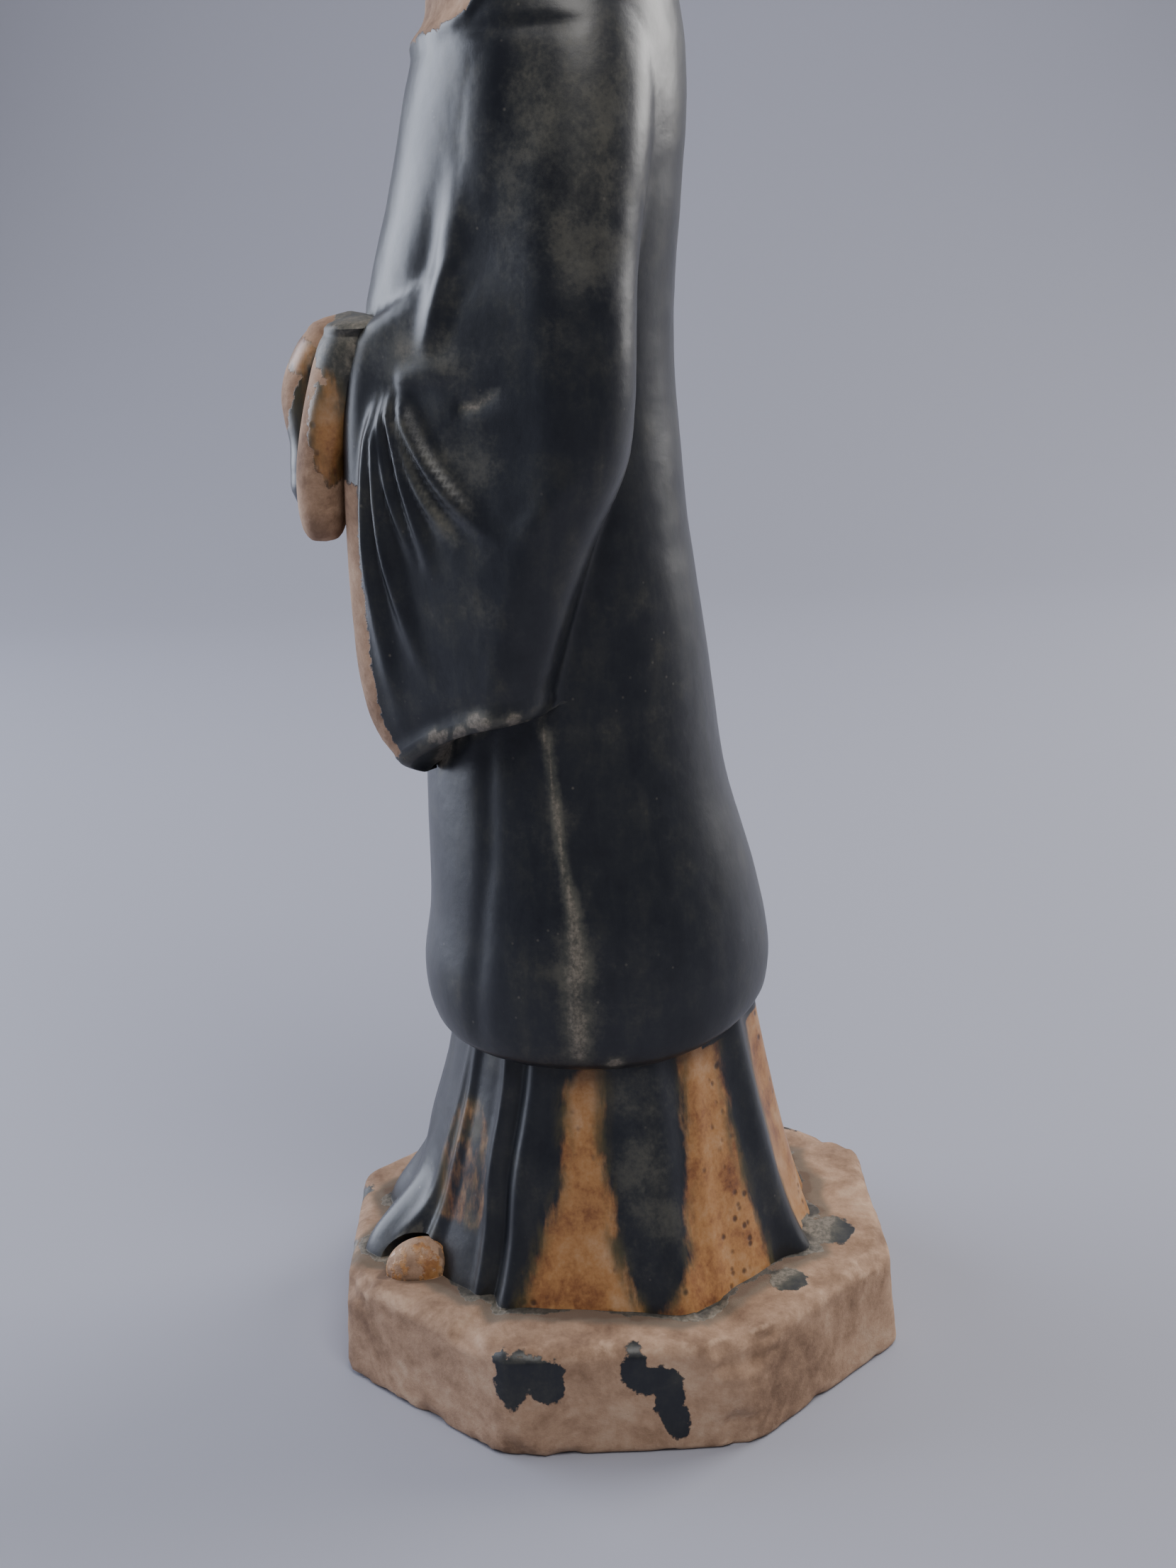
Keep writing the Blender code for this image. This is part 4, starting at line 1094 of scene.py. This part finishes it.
def ceramic():
    """Dark and amber lead glazes over pinkish clay, each worn in its own way."""
    graph = Graph("glazed_earthenware")
    place = graph.place()
    drawn_down = graph.place((1000.0, 1000.0, 260.0))
    glaze_depth = graph.attribute("glaze_depth")
    amber_depth = graph.attribute("amber_depth")
    thinness = graph.attribute("thinness")
    ridge = graph.attribute("ridge")

    glazed = ragged(graph, place, glaze_depth, 2.6, 0.14)
    amber = ragged(graph, drawn_down, amber_depth, 4.6, 0.95)
    fine = graph.noise(place, 1.7, 5.0, 0.65)
    cloud = graph.noise(place, 0.17, 6.0, 0.62)
    slow = graph.noise(place, 0.070, 4.0, 0.6)
    runs = graph.noise(drawn_down, 0.30, 5.0, 0.6, 0.4)
    grain = graph.noise(place, 4.5, 3.0, 0.6)

    thin_base = graph.plus(thinness, graph.times(graph.between(ridge, 0.15, 0.90), 0.40))
    mottle = graph.plus(graph.times(cloud, 1.3), graph.times(fine, 0.45))
    uneven_thin = graph.plus(thin_base, graph.plus(mottle, -0.875))
    thin = graph.between(uneven_thin, 0.05, 0.95)
    bare = graph.between(uneven_thin, 0.75, 1.35)

    dark_value = graph.plus(graph.times(runs, 0.40), graph.times(mottle, 0.34))
    dark = graph.ramp(
        dark_value,
        (0.37, (0.0045, 0.0055, 0.0095)),
        (0.49, (0.0095, 0.0110, 0.0150)),
        (0.58, (0.0180, 0.0190, 0.0200)),
        (0.67, (0.0360, 0.0350, 0.0290)),
    )
    worn = graph.ramp(
        mottle,
        (0.62, (0.025, 0.026, 0.025)),
        (0.86, (0.046, 0.046, 0.038)),
        (0.99, (0.068, 0.065, 0.052)),
    )
    dark = graph.mix(thin, dark, worn)
    rubbed_glaze = graph.ramp(fine, (0.38, (0.090, 0.080, 0.062)), (0.62, (0.210, 0.180, 0.145)))
    dark = graph.mix(graph.times(bare, 0.85), dark, rubbed_glaze)
    speckled = graph.between(graph.noise(place, 0.16, 2.0), 0.50, 0.62)
    specks = graph.times(graph.spots(place, 0.42, 0.03, 0.11), speckled)
    dark = graph.mix(graph.times(specks, 0.45), dark, (0.12, 0.11, 0.09, 1.0))
    # Painted shade in the glaze's creases, together with the thicker glaze pooled there: near black wherever
    # the surface folds inwards
    crease_shade_and_pool = graph.times(graph.between(ridge, -0.10, -0.70), 0.7)
    dark = graph.mix(crease_shade_and_pool, dark, (0.006, 0.006, 0.006, 1.0))

    amber_value = graph.plus(graph.times(runs, 0.22), graph.times(mottle, 0.44))
    ochre = graph.ramp(
        amber_value,
        (0.33, (0.080, 0.028, 0.013)),
        (0.41, (0.200, 0.080, 0.028)),
        (0.50, (0.320, 0.155, 0.055)),
        (0.62, (0.390, 0.235, 0.125)),
    )
    pitted = graph.between(graph.noise(drawn_down, 0.22, 3.0), 0.48, 0.60)
    pits = graph.times(graph.spots(place, 0.55, 0.10, 0.36), pitted)
    ochre = graph.mix(graph.times(pits, 0.85), ochre, (0.040, 0.016, 0.009, 1.0))
    rim = graph.between(graph.math("ABSOLUTE", amber_depth), 2.0, 0.0)
    olive = graph.times(graph.times(rim, graph.between(runs, 0.40, 0.60)), 0.75)
    fringe = graph.mix(olive, graph.mix(amber, dark, ochre), (0.062, 0.050, 0.020, 1.0))

    patches = graph.noise(place, 0.085, 6.0, 0.65, 0.5)
    blotch = graph.noise(place, 0.38, 5.0, 0.6)
    clay_value = graph.plus(graph.times(patches, 0.60), graph.times(blotch, 0.28))
    clay_value = graph.plus(clay_value, graph.times(fine, 0.12))
    clay = graph.ramp(
        clay_value,
        (0.36, (0.150, 0.090, 0.060)),
        (0.46, (0.250, 0.157, 0.104)),
        (0.55, (0.350, 0.228, 0.155)),
        (0.66, (0.450, 0.325, 0.235)),
    )
    stain = graph.between(graph.plus(thinness, graph.times(mottle, 1.2)), 2.0, 3.2)
    clay = graph.mix(graph.times(stain, 0.85), clay, (0.130, 0.104, 0.080, 1.0))
    rubbed_value = graph.plus(ridge, graph.times(graph.plus(blotch, -0.5), 1.6))
    rubbed = graph.times(graph.between(rubbed_value, 0.22, 0.60), 0.40)
    clay = graph.mix(rubbed, clay, (0.480, 0.335, 0.235, 1.0))
    # Painted shade: the bare clay is darkened to a deeper brown in its hollows
    hollow_shade = graph.times(graph.between(ridge, -0.04, -0.40), 0.75)
    clay = graph.mix(hollow_shade, clay, (0.105, 0.068, 0.048, 1.0))
    colour = graph.mix(glazed, clay, fringe)
    graph.shade(Base_Color=colour)

    gloss = graph.blend(slow, 0.28, 0.44)
    gloss = graph.blend(thin, gloss, 0.54)
    gloss = graph.blend(amber, gloss, graph.blend(fine, 0.30, 0.48))
    rough = graph.blend(glazed, 0.86, gloss)
    graph.shade(Roughness=rough, Specular_IOR_Level=graph.blend(glazed, 0.22, 0.50))

    swell = graph.times(graph.noise(place, 0.24, 2.0, 0.5), 0.11)
    ripple = graph.times(fine, graph.blend(glazed, 0.055, 0.016))
    sand = graph.times(grain, graph.blend(glazed, 0.045, 0.005))
    body = graph.plus(graph.plus(swell, ripple), sand)
    film = graph.times(glazed, 0.10)
    holes = graph.times(pits, graph.times(amber, -0.08))
    relief = graph.plus(graph.plus(body, film), holes)
    bump_node = graph.node("ShaderNodeBump")
    graph.feed(bump_node.inputs["Strength"], 0.9)
    graph.feed(bump_node.inputs["Distance"], 0.001)
    graph.feed(bump_node.inputs["Height"], relief)
    graph.shade(Normal=bump_node.outputs[0])
    return graph.material


def studio():
    """Pale floor sweeping up into a backdrop, and soft lights."""
    profile = [(1.2, 0.0), (-0.55, 0.0)]
    for step in range(1, 13):
        turn = step / 12.0 * math.pi / 2.0
        profile.append((-0.55 - 0.35 * math.sin(turn), 0.35 * (1.0 - math.cos(turn))))
    profile.append((-0.90, 1.8))
    places = [(x, side * 1.6, z) for x, z in profile for side in (-1.0, 1.0)]
    faces = [(2 * i, 2 * i + 1, 2 * i + 3, 2 * i + 2) for i in range(len(profile) - 1)]
    data = bpy.data.meshes.new("floor")
    data.from_pydata(places, [], faces)
    data.shade_smooth()
    floor = bpy.data.objects.new("floor", data)
    bpy.context.scene.collection.objects.link(floor)
    graph = Graph("pale_floor")
    graph.shade(Base_Color=(0.275, 0.280, 0.330, 1.0), Roughness=0.8)
    data.materials.append(graph.material)
    for name, place, size, power, colour in LIGHTS:
        lamp = bpy.data.lights.new(name, "AREA")
        lamp.shape = "RECTANGLE"
        lamp.size = size[0]
        lamp.size_y = size[1]
        lamp.energy = power
        lamp.color = colour
        light = bpy.data.objects.new(name, lamp)
        light.location = place
        light.rotation_mode = "QUATERNION"
        light.rotation_quaternion = (Vector(LIT_POINT) - Vector(place)).to_track_quat("-Z", "Y")
        bpy.context.scene.collection.objects.link(light)
    world = bpy.data.worlds.new("studio")
    world.use_nodes = True
    background = world.node_tree.nodes["Background"]
    background.inputs["Color"].default_value = (0.50, 0.52, 0.60, 1.0)
    background.inputs["Strength"].default_value = 0.32
    bpy.context.scene.world = world


def set_camera():
    data = bpy.data.cameras.new("camera")
    data.sensor_fit = "AUTO"
    data.sensor_width = 36.0
    data.lens = 36.0 * FOCAL / 2212.0
    data.clip_start = 0.01
    camera = bpy.data.objects.new("camera", data)
    camera.location = EYE
    camera.rotation_mode = "QUATERNION"
    look = (Vector(TARGET) - Vector(EYE)).to_track_quat("-Z", "Y")
    camera.rotation_quaternion = look @ Quaternion((0.0, 0.0, 1.0), -math.radians(ROLL))
    bpy.context.scene.collection.objects.link(camera)
    bpy.context.scene.camera = camera


def main():
    figure = make_figure()
    figure.data.shade_smooth()
    figure.data.set_sharp_from_angle(angle=math.radians(62.0))
    paint(figure)
    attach(figure, "root")
    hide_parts("tomb_attendant")
    studio()
    set_camera()


main()
